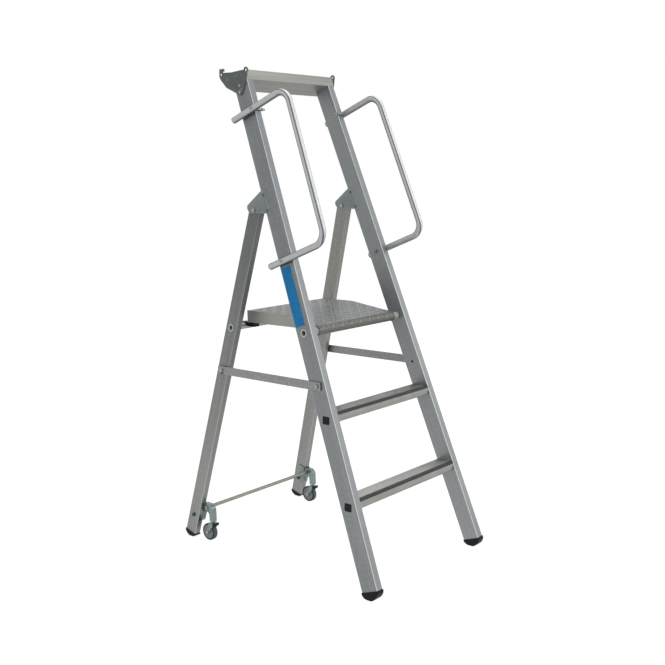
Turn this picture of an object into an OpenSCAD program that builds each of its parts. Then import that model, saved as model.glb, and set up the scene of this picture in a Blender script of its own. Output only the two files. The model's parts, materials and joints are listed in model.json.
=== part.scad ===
// Folding podium step: two leaning stiles with treads, a fold-up platform and a tool tray,
// hinged rear legs held open by hooked side stays, and sprung castors in front of those legs.
// X runs across, Y from the climbing side to the rear and Z up from the floor, in millimetres.
// Heights are above the floor. Stiles and legs of one side share one plane that leans inwards.

/* [Frame] */
// Half of the width over the outer faces of the stiles, at the floor
base_half = 272; // [240:1:320]
// Inward lean of each side, in degrees
side_taper = 2.95; // [1.5:0.05:3.5]
// Backward lean of the stiles, in degrees
stile_lean = 20.1; // [18:0.1:22]
// Front of the stiles to the back of the rear legs, at the floor
base_depth = 860; // [820:1:900]
// Length of a stile from the floor to its top, along its front
stile_length = 1590; // [1540:1:1700]
// Stile section, front to back
stile_depth = 60; // [52:1:70]
// Stile section, side to side
stile_thick = 25; // [22:0.5:30]
// Rear leg section, front to back
leg_depth = 48; // [42:1:54]
// Side play of a leg inside its hinge bracket
leg_play = 1.5; // [1:0.1:2.5]
// Wall of the stile and leg sections
section_wall = 2; // [1.5:0.1:3]
// Outer corner radius of the stile and leg sections
section_radius = 2.5; // [1:0.1:4]

/* [Treads] */
// Height of the lower tread's top
first_tread = 276; // [250:1:300]
// Rise from tread to tread
tread_pitch = 241; // [220:1:255]
// Tread, front to back
tread_depth = 60; // [54:1:64]
// Height of a tread's front and rear lips
tread_lip = 28; // [24:0.5:36]
// Wall of the tread extrusion
tread_wall = 2.4; // [1.8:0.1:3]
// Width of the spigot that carries a tread through the stiles
spigot_width = 24; // [18:0.5:28]
// Height of that spigot
spigot_height = 22; // [16:0.5:26]
// Tread top down to the top of the spigot
spigot_drop = 11; // [8:0.5:14]
// Width of the rubber grip strip on a tread's nose
grip_width = 13; // [8:0.5:16]
// How far that strip goes down the tread's front
grip_drop = 6.5; // [5:0.5:12]
// Depth of the groove that holds the grip strip
grip_groove = 1.2; // [0.6:0.1:1.6]
// How far the grip strip stands above the tread
grip_rise = 0.8; // [0.3:0.1:1.5]
// Spacing of the ribs on a tread
rib_pitch = 5; // [4:0.5:8]
// Height of those ribs
rib_height = 0.8; // [0.4:0.1:1.2]
// Flange of a tread's end plug around the spigot
plug_flange = 0.8; // [0.5:0.1:3]
// How far a tread's end plug stands proud of the stile
plug_proud = 1; // [0.8:0.1:2.5]

/* [Platform] */
// Height of the platform's pivot
pivot_height = 742; // [736:1:748]
// Pivot up to the platform's flat top
platform_rise = 40; // [36:0.5:48]
// Pivot down to the rear cross tube that the platform hooks onto
cross_drop = 11; // [4:0.5:20]
// Gap between the platform and a stile, at the pivot
platform_gap = 28.7; // [26:0.1:45]
// Sheet thickness of the platform
deck_skin = 2.5; // [2:0.1:3.5]
// Outer diameter of the pivot tube and the cross tube
tube_d = 20; // [18:0.5:22]
// Wall of those tubes
tube_wall = 2; // [1.5:0.1:3]
// Flare of a tube's ends around the tube
tube_flare = 2; // [1.5:0.5:4]
// Rear edge of the platform in front of the cross tube's axis
deck_tail = 20; // [16:1:24]
// Radius of the roll from the platform's flat top to its front slope
roll_radius = 200; // [160:10:300]
// Fall of that slope, in degrees
roll_angle = 8; // [7:0.5:10]
// Room between the platform's round nose and its pivot bushes
nose_room = 0.4; // [0.3:0.1:2]
// How far the nose goes on below the pivot, in degrees
nose_wrap = 50; // [30:1:65]
// Depth of the platform's side walls
deck_side = 38; // [32:1:42]
// Wall of the platform's pivot bushes
bush_wall = 3; // [2:0.5:4]
// Wall of those bushes between the platform and the stiles
spacer_wall = 1.4; // [1:0.1:2]
// Width of a platform hook
hook_width = 22; // [16:1:28]
// Wall of a hook behind the cross tube
hook_wall = 5; // [4:0.5:7]

/* [Hinges and stays] */
// Platform's pivot up to the rear legs' pivots
hinge_rise = 357; // [338:1:378]
// Back of the stile to those pivots
hinge_setback = 48.3; // [46:0.1:56]
// Diameter of a leg's pivot bolt
hinge_bolt_d = 10; // [8:0.5:12]
// Sheet thickness of the hinge brackets
bracket_sheet = 3; // [2.5:0.1:4]
// How far a hinge bracket laps onto the stile
bracket_lap = 18; // [14:0.5:24]
// Top of a hinge bracket above the pivot
bracket_rise = 55; // [50:1:70]
// Bottom of a hinge bracket below the pivot
bracket_fall = 10; // [9:0.5:16]
// Platform's pivot down to the stays
stay_drop = 150; // [130:1:180]
// Width of a stay
stay_width = 26; // [20:1:32]
// Thickness of a stay
stay_thick = 3; // [2:0.1:4]
// Gap between a stile and its stay
stay_gap = 1.8; // [1.6:0.1:3]
// Diameter of the stays' pivots and studs
stay_pin_d = 8; // [6:0.5:10]
// Length of a stay beyond each of its pins
stay_end = 16; // [13:0.5:20]

/* [Handrails] */
// Outer diameter of a handrail
rail_d = 20; // [18:0.5:21]
// Wall of a handrail
rail_wall = 2; // [1.5:0.1:3]
// Height of the upper fixing, along the stile
rail_upper = 1492; // [1460:1:1510]
// Platform's pivot up to the lower fixing, along the stile
rail_above = 222.2; // [207:0.1:257]
// Front of the stile to the middle of the handrail's straight run
rail_reach = 150; // [110:1:180]
// Radius of the bends, to the middle of the tube
rail_bend = 42; // [36:1:60]
// Handrail ends behind the stile
rail_tail = 25; // [16:1:30]
// Diameter of the handrail bolts
rail_bolt_d = 6; // [5:0.5:8]
// Length of a handrail bolt beyond the stile's inner face
rail_bolt_end = 14; // [12:0.5:14.5]

/* [Tool tray] */
// Height of the tray's front wall
tray_front = 28; // [20:1:34]
// Length of the tray's floor
tray_floor = 80; // [74:1:90]
// Rear top edge of the tray behind its front wall
tray_depth = 115; // [105:1:120]
// Sheet thickness of the tray
tray_sheet = 2; // [1.5:0.1:3]
// Thickness of the tray's end plates
end_plate = 4; // [3:0.1:5]
// Diameter of the hanging holes in the end plates
hang_hole_d = 8; // [6:0.5:9]

/* [Feet and label] */
// Wall of the rubber feet around the sections
foot_wall = 2.5; // [2:0.1:4]
// Rim of a front foot, along the stile
front_foot = 38; // [34:0.5:60]
// Rim of a rear foot, along the leg
rear_foot = 27.5; // [24:0.5:40]
// How far a foot's rim reaches up its section
foot_collar = 3; // [2:0.5:4]
// Length of a foot's plug inside its section
foot_plug = 28; // [20:1:36]
// Rear feet above the floor while the castors carry the step
foot_clear = 4; // [2:0.5:6]
// Platform's pivot up to the plain label on the left stile
label_above = 22; // [18:1:60]
// Handrail's lower fixing down to that label
label_below = 17; // [15:1:60]
// Width of that label
label_width = 39; // [24:1:40]
// Thickness of that label
label_thick = 0.4; // [0.2:0.1:0.8]

/* [Castors] */
// Height of the rod between the castor brackets
rod_height = 112; // [108:1:118]
// Diameter of that rod
rod_d = 12; // [10:0.5:13]
// That rod in front of the leg
rod_reach = 16; // [14:0.5:20]
// Castor's swivel axis in front of the leg, at the rod's height
castor_reach = 37; // [35:0.5:44]
// Castor's swivel axis inside the middle of the leg
castor_inset = 9.5; // [6:0.5:12]
// Outer width of a castor bracket's arch
arch_width = 18; // [17:0.5:22]
// Top of that arch above the rod
arch_rise = 14; // [12:0.5:18]
// Radius of that arch's front
arch_radius = 20; // [16:0.5:22]
// Front of the arch's limb ahead of the swivel axis
limb_front = 9; // [8.5:0.5:11]
// Back of that limb behind the swivel axis
limb_back = 7; // [6:0.5:8]
// Sheet thickness of the castor brackets
castor_sheet = 2.5; // [2:0.1:2.8]
// Diameter of a castor wheel
wheel_d = 57; // [50:1:60]
// Width of a castor wheel
wheel_width = 19; // [16:0.5:22]
// Thickness of the tyre
tyre_thick = 5; // [3:0.5:7]
// Swivel axis back to the wheel's axle
castor_trail = 17; // [14:0.5:20]
// Diameter of a castor's axle
axle_d = 8; // [6:0.5:9]
// Diameter of a castor's swivel stem
stem_d = 8; // [7:0.5:9]
// Top of the wheel up to the arch's foot
stem_rise = 11; // [10:0.5:14]
// How far a castor rises in its bracket under load
castor_travel = 5; // [4.5:0.5:5.5]
// Wire of the castor springs
spring_wire = 1.6; // [1.2:0.1:1.7]
// Whole turns of a castor spring
spring_turns = 5; // [3:1:7]

/* [Hidden] */
// Clearance of pieces that seat in one another
seat_gap = 0.1;
// Radial clearance of pins that something turns on
turn_gap = 0.08;
// Clearance of faces that move past one another
move_gap = 0.4;
// Allowance by which a cut passes its solid
over = 1;
// Steps of a rounded corner and of a long arc
corner_steps = 4;
arc_steps = 12;
$fn = 48;

// Heads and nuts: diameter and height
rail_head = [10.5, 2];
rail_nut = [11.5, 5];
hinge_head = [13, 3];
stay_head = [14, 3];
rivet_head = [9, 2];
rivet_d = 6;
screw_head = [9, 2.5];
screw_d = 5;
bracket_bolt_head = [13, 4];
bracket_bolt_d = 8;

leg_thick = stile_thick - 2 * leg_play;
leg_inner = stile_thick - leg_play;
mid_in = stile_thick / 2;
far = 3 * base_half;
sky = 2 * stile_length;

// Height within a side's plane, of a point at height z and a depth of inset inside the outer face
function plane_height(z, inset) = (z + inset * sin(side_taper)) / cos(side_taper);
// Half width of the part at height z, measured to a plane that lies inset inside the outer face
function half_at(z, inset) =
    base_half - inset * cos(side_taper) - (z + inset * sin(side_taper)) * tan(side_taper);
// Point in a side's plane, along the stile and back from its front face
function on_stile(along, back) =
    [along * sin(stile_lean) + back * cos(stile_lean), along * cos(stile_lean) - back * sin(stile_lean)];
// Y of a line inside the stile or the leg, at height z
function stile_y(z, back) =
    (plane_height(z, mid_in) + back * sin(stile_lean)) * tan(stile_lean) + back * cos(stile_lean);
function leg_y(z, ahead) =
    base_depth - (plane_height(z, mid_in) + ahead * sin(leg_lean)) * tan(leg_lean) - ahead * cos(leg_lean);

hinge_height = pivot_height + hinge_rise;

// The middle line of a leg runs from its pivot to the floor, which gives the legs' forward lean
hinge_plane = plane_height(hinge_height, mid_in);
hinge_y = stile_y(hinge_height, stile_depth) + hinge_setback;
leg_run = base_depth - hinge_y;
leg_lean = atan2(leg_run, hinge_plane) - asin(leg_depth / 2 / norm([leg_run, hinge_plane]));

// A foot's sole is round from below its rim, but for a flat where the round dips under the floor
foot_straight = 5;
foot_press = 1.2;
function sole_radius(half, drop) = (half * half + drop * drop) / (2 * drop);
function sole_drop(rim, depth, lean, floor) =
    rim - foot_straight - (floor - foot_press + depth / 2 * sin(lean)) / cos(lean);
function sole_span(half, r, lean) = half * cos(lean) + sqrt(r * r - half * half) * sin(lean);
front_half = stile_depth / 2 + foot_wall;
front_round = sole_radius(front_half, sole_drop(front_foot, stile_depth, stile_lean, 0));
front_sole_z = front_round - foot_press;
front_sole_y = stile_y(front_sole_z, stile_depth / 2);
rear_half = leg_depth / 2 + foot_wall;
rear_round = sole_radius(rear_half, sole_drop(rear_foot, leg_depth, leg_lean, foot_clear));
rear_sole_z = foot_clear + rear_round - foot_press;
rear_sole_y = leg_y(rear_sole_z, leg_depth / 2);

// Middle of the footprint, which is the origin
front_end = front_sole_y - sole_span(front_half, front_round, stile_lean);
rear_end = rear_sole_y + sole_span(rear_half, rear_round, leg_lean);
mid_y = (front_end + rear_end) / 2;

platform_top = pivot_height + platform_rise;
platform_width = 2 * (half_at(pivot_height, stile_thick) - platform_gap);
cross_height = pivot_height - cross_drop;
stay_height = pivot_height - stay_drop;
pivot_y = stile_y(pivot_height, stile_depth / 2);
pivot_along = (plane_height(pivot_height, mid_in) + stile_depth / 2 * sin(stile_lean)) / cos(stile_lean);
rail_lower = pivot_along + rail_above;
cross_y = leg_y(cross_height, leg_depth / 2);
stay_front_y = stile_y(stay_height, stile_depth / 2);
stay_rear_y = leg_y(stay_height, leg_depth / 2);
stay_half = half_at(stay_height, 0) + stay_gap;

// Where the tray's floor meets the front of the stiles
top_y = stile_length * sin(stile_lean);
top_z = stile_length * cos(stile_lean) * cos(side_taper) - mid_in * sin(side_taper);

rod_y = leg_y(rod_height, leg_depth) - rod_reach;
castor_x = half_at(rod_height, mid_in) - castor_inset;
stem_y = leg_y(rod_height, leg_depth) - castor_reach;
axle_z = wheel_d / 2;
fork_inner = wheel_width / 2 + 1;

// Unit vector, and a polyline moved sideways by t
function unit(v) = v / norm(v);
function left_of(v) = [-v.y, v.x];
function edge_normal(p, i) = left_of(unit(p[i + 1] - p[i]));
function moved(p, t) = [
    for (i = [0 : len(p) - 1])
        let (a = edge_normal(p, max(i - 1, 0)), b = edge_normal(p, min(i, len(p) - 2)))
        p[i] + t * (a + b) / (1 + a * b)
];
function reversed(p) = [for (i = [len(p) - 1 : -1 : 0]) p[i]];
// Points of an arc about a centre
function arc(centre, r, from, to, steps) =
    [for (i = [0 : steps]) let (a = from + (to - from) * i / steps) centre + r * [cos(a), sin(a)]];
// Rectangle with round corners
function round_box(low, high, r) = concat(
    arc([high.x - r, high.y - r], r, 0, 90, corner_steps),
    arc([low.x + r, high.y - r], r, 90, 180, corner_steps),
    arc([low.x + r, low.y + r], r, 180, 270, corner_steps),
    arc([high.x - r, low.y + r], r, 270, 360, corner_steps)
);

// Frame of one side, -1 left or 1 right: x inwards from the outer face, z up in the side's plane
module side(hand) {
    mirror([hand > 0 ? 1 : 0, 0, 0])
        translate([-base_half, -mid_y, 0])
            rotate([0, side_taper, 0])
                children();
}

// Inside a side: y back from the stile's front face, z along the stile
module along_stile() {
    rotate([-stile_lean, 0, 0]) children();
}

// Inside a side: y back from the leg's rear face, z along the leg
module along_leg() {
    translate([0, base_depth, 0]) rotate([leg_lean, 0, 0]) children();
}

// Straight frame with its origin at a Y and a height
module ground(y, z) {
    translate([0, y - mid_y, z]) children();
}

// Outline in Y and Z drawn out along X, about the middle or from a start
module across(width) {
    rotate([90, 0, 90]) translate([0, 0, -width / 2]) linear_extrude(width) children();
}

module across_from(start, width) {
    rotate([90, 0, 90]) translate([0, 0, start]) linear_extrude(width) children();
}

// Round bar along X
module cross_bar(d, start, length) {
    translate([start, 0, 0]) rotate([0, 90, 0]) cylinder(d = d, h = length);
}

// The space between two planes that lie inset inside the outer faces
module between_sides(inset) {
    translate([0, far, 0])
        rotate([90, 0, 0])
            linear_extrude(2 * far)
                polygon([
                    [-half_at(-far, inset), -far],
                    [half_at(-far, inset), -far],
                    [half_at(sky, inset), sky],
                    [-half_at(sky, inset), sky]
                ]);
}

module below(z) {
    translate([-far, -far, z - far]) cube([2 * far, 2 * far, far]);
}

module section(low, high, wall, radius, length) {
    linear_extrude(length)
        difference() {
            polygon(round_box(low, high, radius));
            polygon(round_box(low + [wall, wall], high - [wall, wall], max(radius - wall, 0.4)));
        }
}

// Stiles
module stile(hand) {
    color("lightgray")
        difference() {
            side(hand)
                along_stile()
                    translate([0, 0, front_foot - foot_collar])
                        section([0, 0], [stile_thick, stile_depth], section_wall, section_radius, stile_length);
            // The top is cut square across, where the tray's floor lies
            ground(top_y, top_z)
                rotate([-stile_lean, 0, 0])
                    translate([-far, -far, 0])
                        cube([2 * far, 2 * far, far]);
            for (top = tread_tops)
                ground(spigot_y(top), top)
                    across(2 * far)
                        polygon(spigot_outline(seat_gap));
            ground(pivot_y, pivot_height) cross_bar(tube_d + 2 * seat_gap, -far, 2 * far);
            ground(stay_front_y, stay_height) cross_bar(stay_pin_d + 2 * seat_gap, -far, 2 * far);
            side(hand)
                along_stile() {
                    translate([0, stile_depth / 2, rail_lower])
                        cross_bar(rail_bolt_d + 2 * seat_gap, -over, stile_thick + 2 * over);
                    for (along = bracket_rivet_heights)
                        translate([0, stile_depth - bracket_lap / 2, along])
                            cross_bar(rivet_d + 2 * seat_gap, -over, stile_thick + 2 * over);
                }
            side(hand)
                for (p = end_screws)
                    translate([0, end_origin.x + p.x, end_origin.y + p.y])
                        cross_bar(screw_d + 2 * seat_gap, -over, section_wall + 2 * over);
        }
}
module left_stile() stile(-1);
module right_stile() stile(1);

// Keeps what lies above a sole that is round about an axis at a Y and a height
module above_sole(y, z, r) {
    intersection() {
        children();
        union() {
            ground(y, z) cross_bar(2 * r, -far, 2 * far);
            translate([-far, -far, z]) cube([2 * far, 2 * far, far]);
        }
    }
}

// Outline of a foot's rim, of the hole for its section or of its plug
module foot_outline(low, high, grow, radius) {
    polygon(round_box(low - [grow, grow], high + [grow, grow], radius));
}

// Rubber feet: a cap with a round sole, a rim outside the section and a plug inside it
module front_foot(hand) {
    low = [0, 0];
    high = [stile_thick, stile_depth];
    color("#1c1c22") {
        difference() {
            above_sole(front_sole_y, front_sole_z, front_round)
                side(hand)
                    along_stile()
                        linear_extrude(front_foot)
                            foot_outline(low, high, foot_wall, section_radius + foot_wall);
            below(0);
            side(hand)
                along_stile()
                    translate([0, 0, front_foot - foot_collar])
                        linear_extrude(front_foot) foot_outline(low, high, seat_gap, section_radius);
        }
        side(hand)
            along_stile()
                translate([0, 0, front_foot - foot_collar - over])
                    linear_extrude(foot_plug) foot_outline(low, high, -section_wall - seat_gap, over);
    }
}
module left_front_foot() front_foot(-1);
module right_front_foot() front_foot(1);

// Treads
tread_tops = [first_tread, first_tread + tread_pitch];

// Y of a tread's nose, and of the middle of its spigot
function tread_nose(top) = stile_y(top, 0) - 1;
function spigot_y(top) = stile_y(top - spigot_drop - spigot_height / 2, stile_depth / 2);
function spigot_outline(grow) =
    round_box([-spigot_width / 2 - grow, -spigot_drop - spigot_height - grow],
        [spigot_width / 2 + grow, -spigot_drop + grow], 3);

rib_start = grip_width + 3;
rib_count = floor((tread_depth - 3 - rib_start) / rib_pitch);
rib_width = 1.8;
nose_corner = 3;
lip_return = 7;

// Outline of the extrusion, from its nose, without the spigot
module tread_outline() {
    difference() {
        polygon(round_box([0, -tread_lip], [tread_depth, 0], nose_corner));
        translate([tread_wall, -tread_lip + tread_wall])
            square([tread_depth - 2 * tread_wall, tread_lip - 2 * tread_wall - grip_groove]);
        translate([lip_return, -tread_lip - over])
            square([tread_depth - 2 * lip_return, tread_wall + 2 * over]);
        translate([-over, -grip_groove])
            square([grip_width + over, grip_groove + over]);
        translate([-over, -grip_drop])
            square([grip_groove + over, grip_drop + over]);
    }
    for (i = [0 : rib_count])
        translate([rib_start + i * rib_pitch, -over / 2])
            square([rib_width, rib_height + over / 2]);
}

module tread(top) {
    color("silver")
        difference() {
            union() {
                intersection() {
                    union() {
                        ground(tread_nose(top), top) across(2 * base_half) tread_outline();
                        // Webs that hang the spigot from the tread's top
                        ground(spigot_y(top), top)
                            across(2 * base_half)
                                translate([-spigot_width / 2, -spigot_drop - over])
                                    square([spigot_width, spigot_drop - tread_wall / 2]);
                    }
                    between_sides(stile_thick + seat_gap);
                }
                intersection() {
                    ground(spigot_y(top), top) across(2 * base_half) polygon(spigot_outline(0));
                    between_sides(0);
                }
            }
            ground(spigot_y(top), top)
                across(2 * far)
                    polygon(spigot_outline(-tread_wall));
        }
}
module lower_tread() tread(tread_tops[0]);
module upper_tread() tread(tread_tops[1]);

grip_end = 1;
grip_slope = 2;
grip_corner = [grip_slope - grip_rise, grip_rise - grip_slope];

// Rubber strips round the noses of the treads
module tread_grip_strips() {
    color("#3d3e42")
        intersection() {
            for (top = tread_tops)
                ground(tread_nose(top), top)
                    across(2 * base_half)
                        polygon(concat(
                            [
                                [grip_groove, -grip_groove],
                                [grip_groove, seat_gap - grip_drop],
                                [0, seat_gap - grip_drop],
                                [-grip_rise, grip_slope - grip_drop]
                            ],
                            arc(grip_corner, grip_slope, 180, 90, corner_steps),
                            [
                                [grip_width - grip_slope, grip_rise],
                                [grip_width - seat_gap, 0],
                                [grip_width - seat_gap, -grip_groove]
                            ]
                        ));
            between_sides(stile_thick + grip_end);
        }
}

// Black plugs in the open ends of the spigots
plug_length = 16;

module tread_end_plugs() {
    color("#1c1c22")
        for (top = tread_tops)
            ground(0, 0) {
                intersection() {
                    translate([0, spigot_y(top), top])
                        across(2 * far)
                            polygon(spigot_outline(plug_flange));
                    difference() {
                        between_sides(-plug_proud);
                        between_sides(0);
                    }
                }
                intersection() {
                    translate([0, spigot_y(top), top])
                        across(2 * far)
                            polygon(spigot_outline(-tread_wall - seat_gap));
                    difference() {
                        between_sides(0);
                        between_sides(plug_length);
                    }
                }
            }
}

// Tube across the frame, its ends flared over the outer faces
module flared_tube(y, z, inset) {
    flare = 1.2;
    difference() {
        union() {
            intersection() {
                ground(y, z) cross_bar(tube_d, -far, 2 * far);
                between_sides(inset - flare);
            }
            intersection() {
                ground(y, z) cross_bar(tube_d + 2 * tube_flare, -far, 2 * far);
                difference() {
                    between_sides(inset - flare);
                    between_sides(inset);
                }
            }
        }
        ground(y, z) cross_bar(tube_d - 2 * tube_wall, -far, 2 * far);
    }
}
module platform_pivot_tube() color("silver") flared_tube(pivot_y, pivot_height, 0);
module rear_cross_tube() color("silver") flared_tube(cross_y, cross_height, leg_play);

// Platform: one folded sheet that slopes down to a round nose about the pivot
bush_d = tube_d + 2 * turn_gap + 2 * bush_wall;
nose_radius = bush_d / 2 + seat_gap + nose_room + deck_skin;
deck_rear = cross_y - deck_tail;
deck_low = platform_top - deck_side;
// Length of the straight slope, and where the roll above it starts
slope_rise = platform_rise - nose_radius * cos(roll_angle) - roll_radius * (1 - cos(roll_angle));
slope_long = slope_rise / sin(roll_angle);
roll_y = pivot_y + slope_long * cos(roll_angle) + (roll_radius - nose_radius) * sin(roll_angle);
// Directions of the nose's lower edge, and of the tangent where an ear meets the side wall
nose_end = 180 + nose_wrap;
ear_end = 290;

// The sheet's outer line from the rear round the nose, set in by t
function deck_line(t, to) = concat(
    [[deck_rear - t, platform_top - t]],
    arc([roll_y, platform_top - roll_radius], roll_radius - t, 90, 90 + roll_angle, arc_steps),
    arc([pivot_y, pivot_height], nose_radius - t, 90 + roll_angle, to, 2 * arc_steps)
);

module platform_deck() {
    beyond = [pivot_y, pivot_height] + 2 * nose_radius * [cos(nose_end), sin(nose_end)];
    color("gainsboro")
        difference() {
            ground(0, 0)
                across(platform_width)
                    polygon(concat(
                        deck_line(0, ear_end),
                        [
                            [pivot_y + 3 * nose_radius, deck_low],
                            [deck_rear, deck_low]
                        ]
                    ));
            ground(0, 0)
                across(platform_width - 2 * deck_skin)
                    polygon(concat(
                        deck_line(deck_skin, nose_end),
                        [
                            beyond,
                            [deck_rear - deck_skin, beyond.y]
                        ]
                    ));
            ground(pivot_y, pivot_height)
                cross_bar(bush_d + 2 * seat_gap, -far, 2 * far);
        }
}

// Nylon bushes that turn on the pivot tube and fill the gap to the stiles
module platform_bushes() {
    inner_end = platform_width / 2 - deck_skin - 4;
    outer_end = half_at(pivot_height + bush_d / 2, stile_thick + move_gap);
    long = outer_end - inner_end;
    collar = platform_width / 2 - inner_end;
    color("#d8d6cc")
        ground(pivot_y, pivot_height)
            for (hand = [0, 1])
                mirror([hand, 0, 0])
                    difference() {
                        union() {
                            cross_bar(bush_d, inner_end, collar);
                            cross_bar(tube_d + 2 * turn_gap + 2 * spacer_wall, inner_end, long);
                        }
                        cross_bar(tube_d + 2 * turn_gap, inner_end - over, long + 2 * over);
                    }
}

// Black hooks under the rear corners. The tube leaves them downwards and forwards.
hook_depth = 28;
hook_seat = 14;
hook_jaw = 7;
hook_leave = 25;

module platform_hooks() {
    bore = tube_d / 2 + move_gap;
    leave = [-sin(hook_leave), -cos(hook_leave)];
    aside = bore * left_of(leave);
    run = 3 * tube_d * leave;
    mid = [cross_y, cross_height];
    color("#1c1c22")
        for (hand = [-1, 1])
            ground(0, 0)
                translate([hand * (platform_width / 2 - deck_skin - seat_gap - hook_width / 2), 0, 0])
                    across(hook_width)
                        difference() {
                            polygon([
                                [deck_rear - hook_depth, deck_low + hook_seat],
                                [deck_rear - deck_skin - seat_gap, deck_low + hook_seat],
                                [deck_rear - deck_skin - seat_gap, deck_low - seat_gap],
                                [cross_y + bore + hook_wall, deck_low - seat_gap],
                                [cross_y + bore + hook_wall, cross_height - hook_jaw],
                                [cross_y, cross_height - 1],
                                [deck_rear - hook_depth, cross_height - 1]
                            ]);
                            translate(mid) circle(bore);
                            polygon([mid + aside, mid - aside, mid - aside + run, mid + aside + run]);
                        }
}

// Tool tray: one sheet folded to a front wall, a floor on the stile tops and a sloping rear wall
module tool_tray() {
    floor_end = tray_floor * [cos(stile_lean), -sin(stile_lean)];
    line = [[tray_depth, tray_front], floor_end, [0, 0], [0, tray_front]];
    color("#a5a59c")
        intersection() {
            ground(top_y, top_z)
                across(2 * base_half)
                    polygon(concat(line, reversed(moved(line, -tray_sheet))));
            between_sides(seat_gap);
        }
}

// End plates of the tray, with a round front horn and a hooked rear horn
end_origin = [top_y, plane_height(top_z, 0)];
horn_radius = 9;
horn_rise = 11;
horn_lip = 6;
hook_gap = 9;
hook_reach = 20;
plate_drop = 46;
plate_slope = 13;
plate_toe = 8;
plate_dip = 3;
end_screws = [[27, -18], [27, -38]];
front_hole = [3, tray_front - 1];
rear_hole = [tray_depth - 1, tray_front - 6];

module end_plate_outline() {
    top = tray_front + horn_rise;
    back = tray_depth + horn_lip;
    toe_y = end_screws[1].x - plate_toe / 2;
    difference() {
        union() {
            polygon([
                [front_hole.x - plate_toe, tray_front - plate_dip],
                [0, 0],
                [toe_y - horn_lip, plate_toe - plate_drop],
                [toe_y, -plate_drop],
                [toe_y + plate_toe, -plate_drop],
                [tray_floor - 2 * horn_rise, plate_slope - plate_drop],
                [tray_floor + plate_toe, 2 * plate_slope - plate_drop],
                [tray_depth, horn_lip],
                [back, 2 * plate_toe],
                [back, top],
                [back - hook_reach, top],
                [back - hook_reach - 2, top - plate_toe],
                [back - plate_slope, top - hook_gap],
                [back - plate_slope - 2, tray_front - 1],
                [tray_floor - plate_slope, tray_front - plate_dip],
                [2 * horn_radius, tray_front],
            ]);
            translate(front_hole) circle(horn_radius);
        }
        translate(front_hole) circle(d = hang_hole_d);
        translate(rear_hole) circle(d = hang_hole_d);
        for (p = end_screws)
            translate(p) circle(d = screw_d + 2 * seat_gap);
    }
}

module tray_end(hand) {
    color("#4d5250")
        side(hand)
            translate([0, end_origin.x, end_origin.y])
                across_from(-end_plate, end_plate)
                    end_plate_outline();
}
module left_tray_end() tray_end(-1);
module right_tray_end() tray_end(1);

module tray_end_screws() {
    color("gray")
        for (hand = [-1, 1], p = end_screws)
            side(hand)
                translate([0, end_origin.x + p.x, end_origin.y + p.y]) {
                    cross_bar(screw_head[0], -end_plate - screw_head[1], screw_head[1]);
                    cross_bar(screw_d, -end_plate, end_plate + 4 * section_wall);
                }
}

// Handrails: one bent tube each, bolted to the outer face of the stile
rail_heights = [rail_lower, rail_upper];
rail_gap = 0.3;
rail_mid = -rail_gap - rail_d / 2;
rail_back = stile_depth + rail_tail;
// Bolts: height along the stile and distance behind its front. The upper ones pass in front of it.
rail_fixings = [[rail_lower, stile_depth / 2], [rail_upper, -rail_bolt_d / 2 - rail_gap]];
bend_back = rail_bend - rail_reach;

module rail_ring() {
    difference() {
        circle(d = rail_d);
        circle(d = rail_d - 2 * rail_wall);
    }
}

// The handrail's line lies in the stile's plane: first back from its front, then along it
module handrail(hand) {
    color("#c9ccd0")
        side(hand)
            along_stile()
                difference() {
                    translate([rail_mid, 0, 0])
                        rotate([90, 0, 90]) {
                            for (along = rail_heights)
                                translate([bend_back, along, 0])
                                    rotate([0, 90, 0])
                                        linear_extrude(rail_back - bend_back) rail_ring();
                            translate([-rail_reach, rail_lower + rail_bend, 0])
                                rotate([-90, 0, 0])
                                    linear_extrude(rail_upper - rail_lower - 2 * rail_bend) rail_ring();
                            translate([bend_back, rail_upper - rail_bend, 0])
                                rotate([0, 0, 90])
                                    rotate_extrude(angle = 90) translate([rail_bend, 0]) rail_ring();
                            translate([bend_back, rail_lower + rail_bend, 0])
                                rotate([0, 0, 180])
                                    rotate_extrude(angle = 90) translate([rail_bend, 0]) rail_ring();
                        }
                    for (p = rail_fixings)
                        translate([rail_mid, p[1], p[0]])
                            cross_bar(rail_bolt_d + 2 * seat_gap, -rail_d, 2 * rail_d);
                }
}
module left_handrail() handrail(-1);
module right_handrail() handrail(1);

// Plugs in the rear ends of the handrails
rail_plug = [2, 14];

module handrail_end_plugs() {
    color("#5b5f63")
        for (hand = [-1, 1], along = rail_heights)
            side(hand)
                along_stile()
                    translate([rail_mid, rail_back, along])
                        rotate([-90, 0, 0]) {
                            cylinder(d = rail_d, h = rail_plug[0]);
                            translate([0, 0, -rail_plug[1]])
                                cylinder(d = rail_d - 2 * rail_wall - 2 * seat_gap, h = rail_plug[1]);
                        }
}

module handrail_bolts() {
    start = rail_mid - rail_d / 2;
    color("gray")
        for (hand = [-1, 1], p = rail_fixings)
            side(hand)
                along_stile()
                    translate([0, p[1], p[0]]) {
                        cross_bar(rail_head[0], start - rail_head[1], rail_head[1]);
                        cross_bar(rail_bolt_d, start, stile_thick + rail_bolt_end - start);
                    }
}

module handrail_nuts() {
    color("gray")
        for (hand = [-1, 1], p = rail_fixings)
            side(hand)
                along_stile()
                    translate([stile_thick, p[1], p[0]])
                        rotate([0, 90, 0])
                            difference() {
                                cylinder(d = rail_nut[0], h = rail_nut[1], $fn = 6);
                                translate([0, 0, -over])
                                    cylinder(d = rail_bolt_d + 2 * turn_gap, h = rail_nut[1] + 2 * over);
                            }
}

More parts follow.
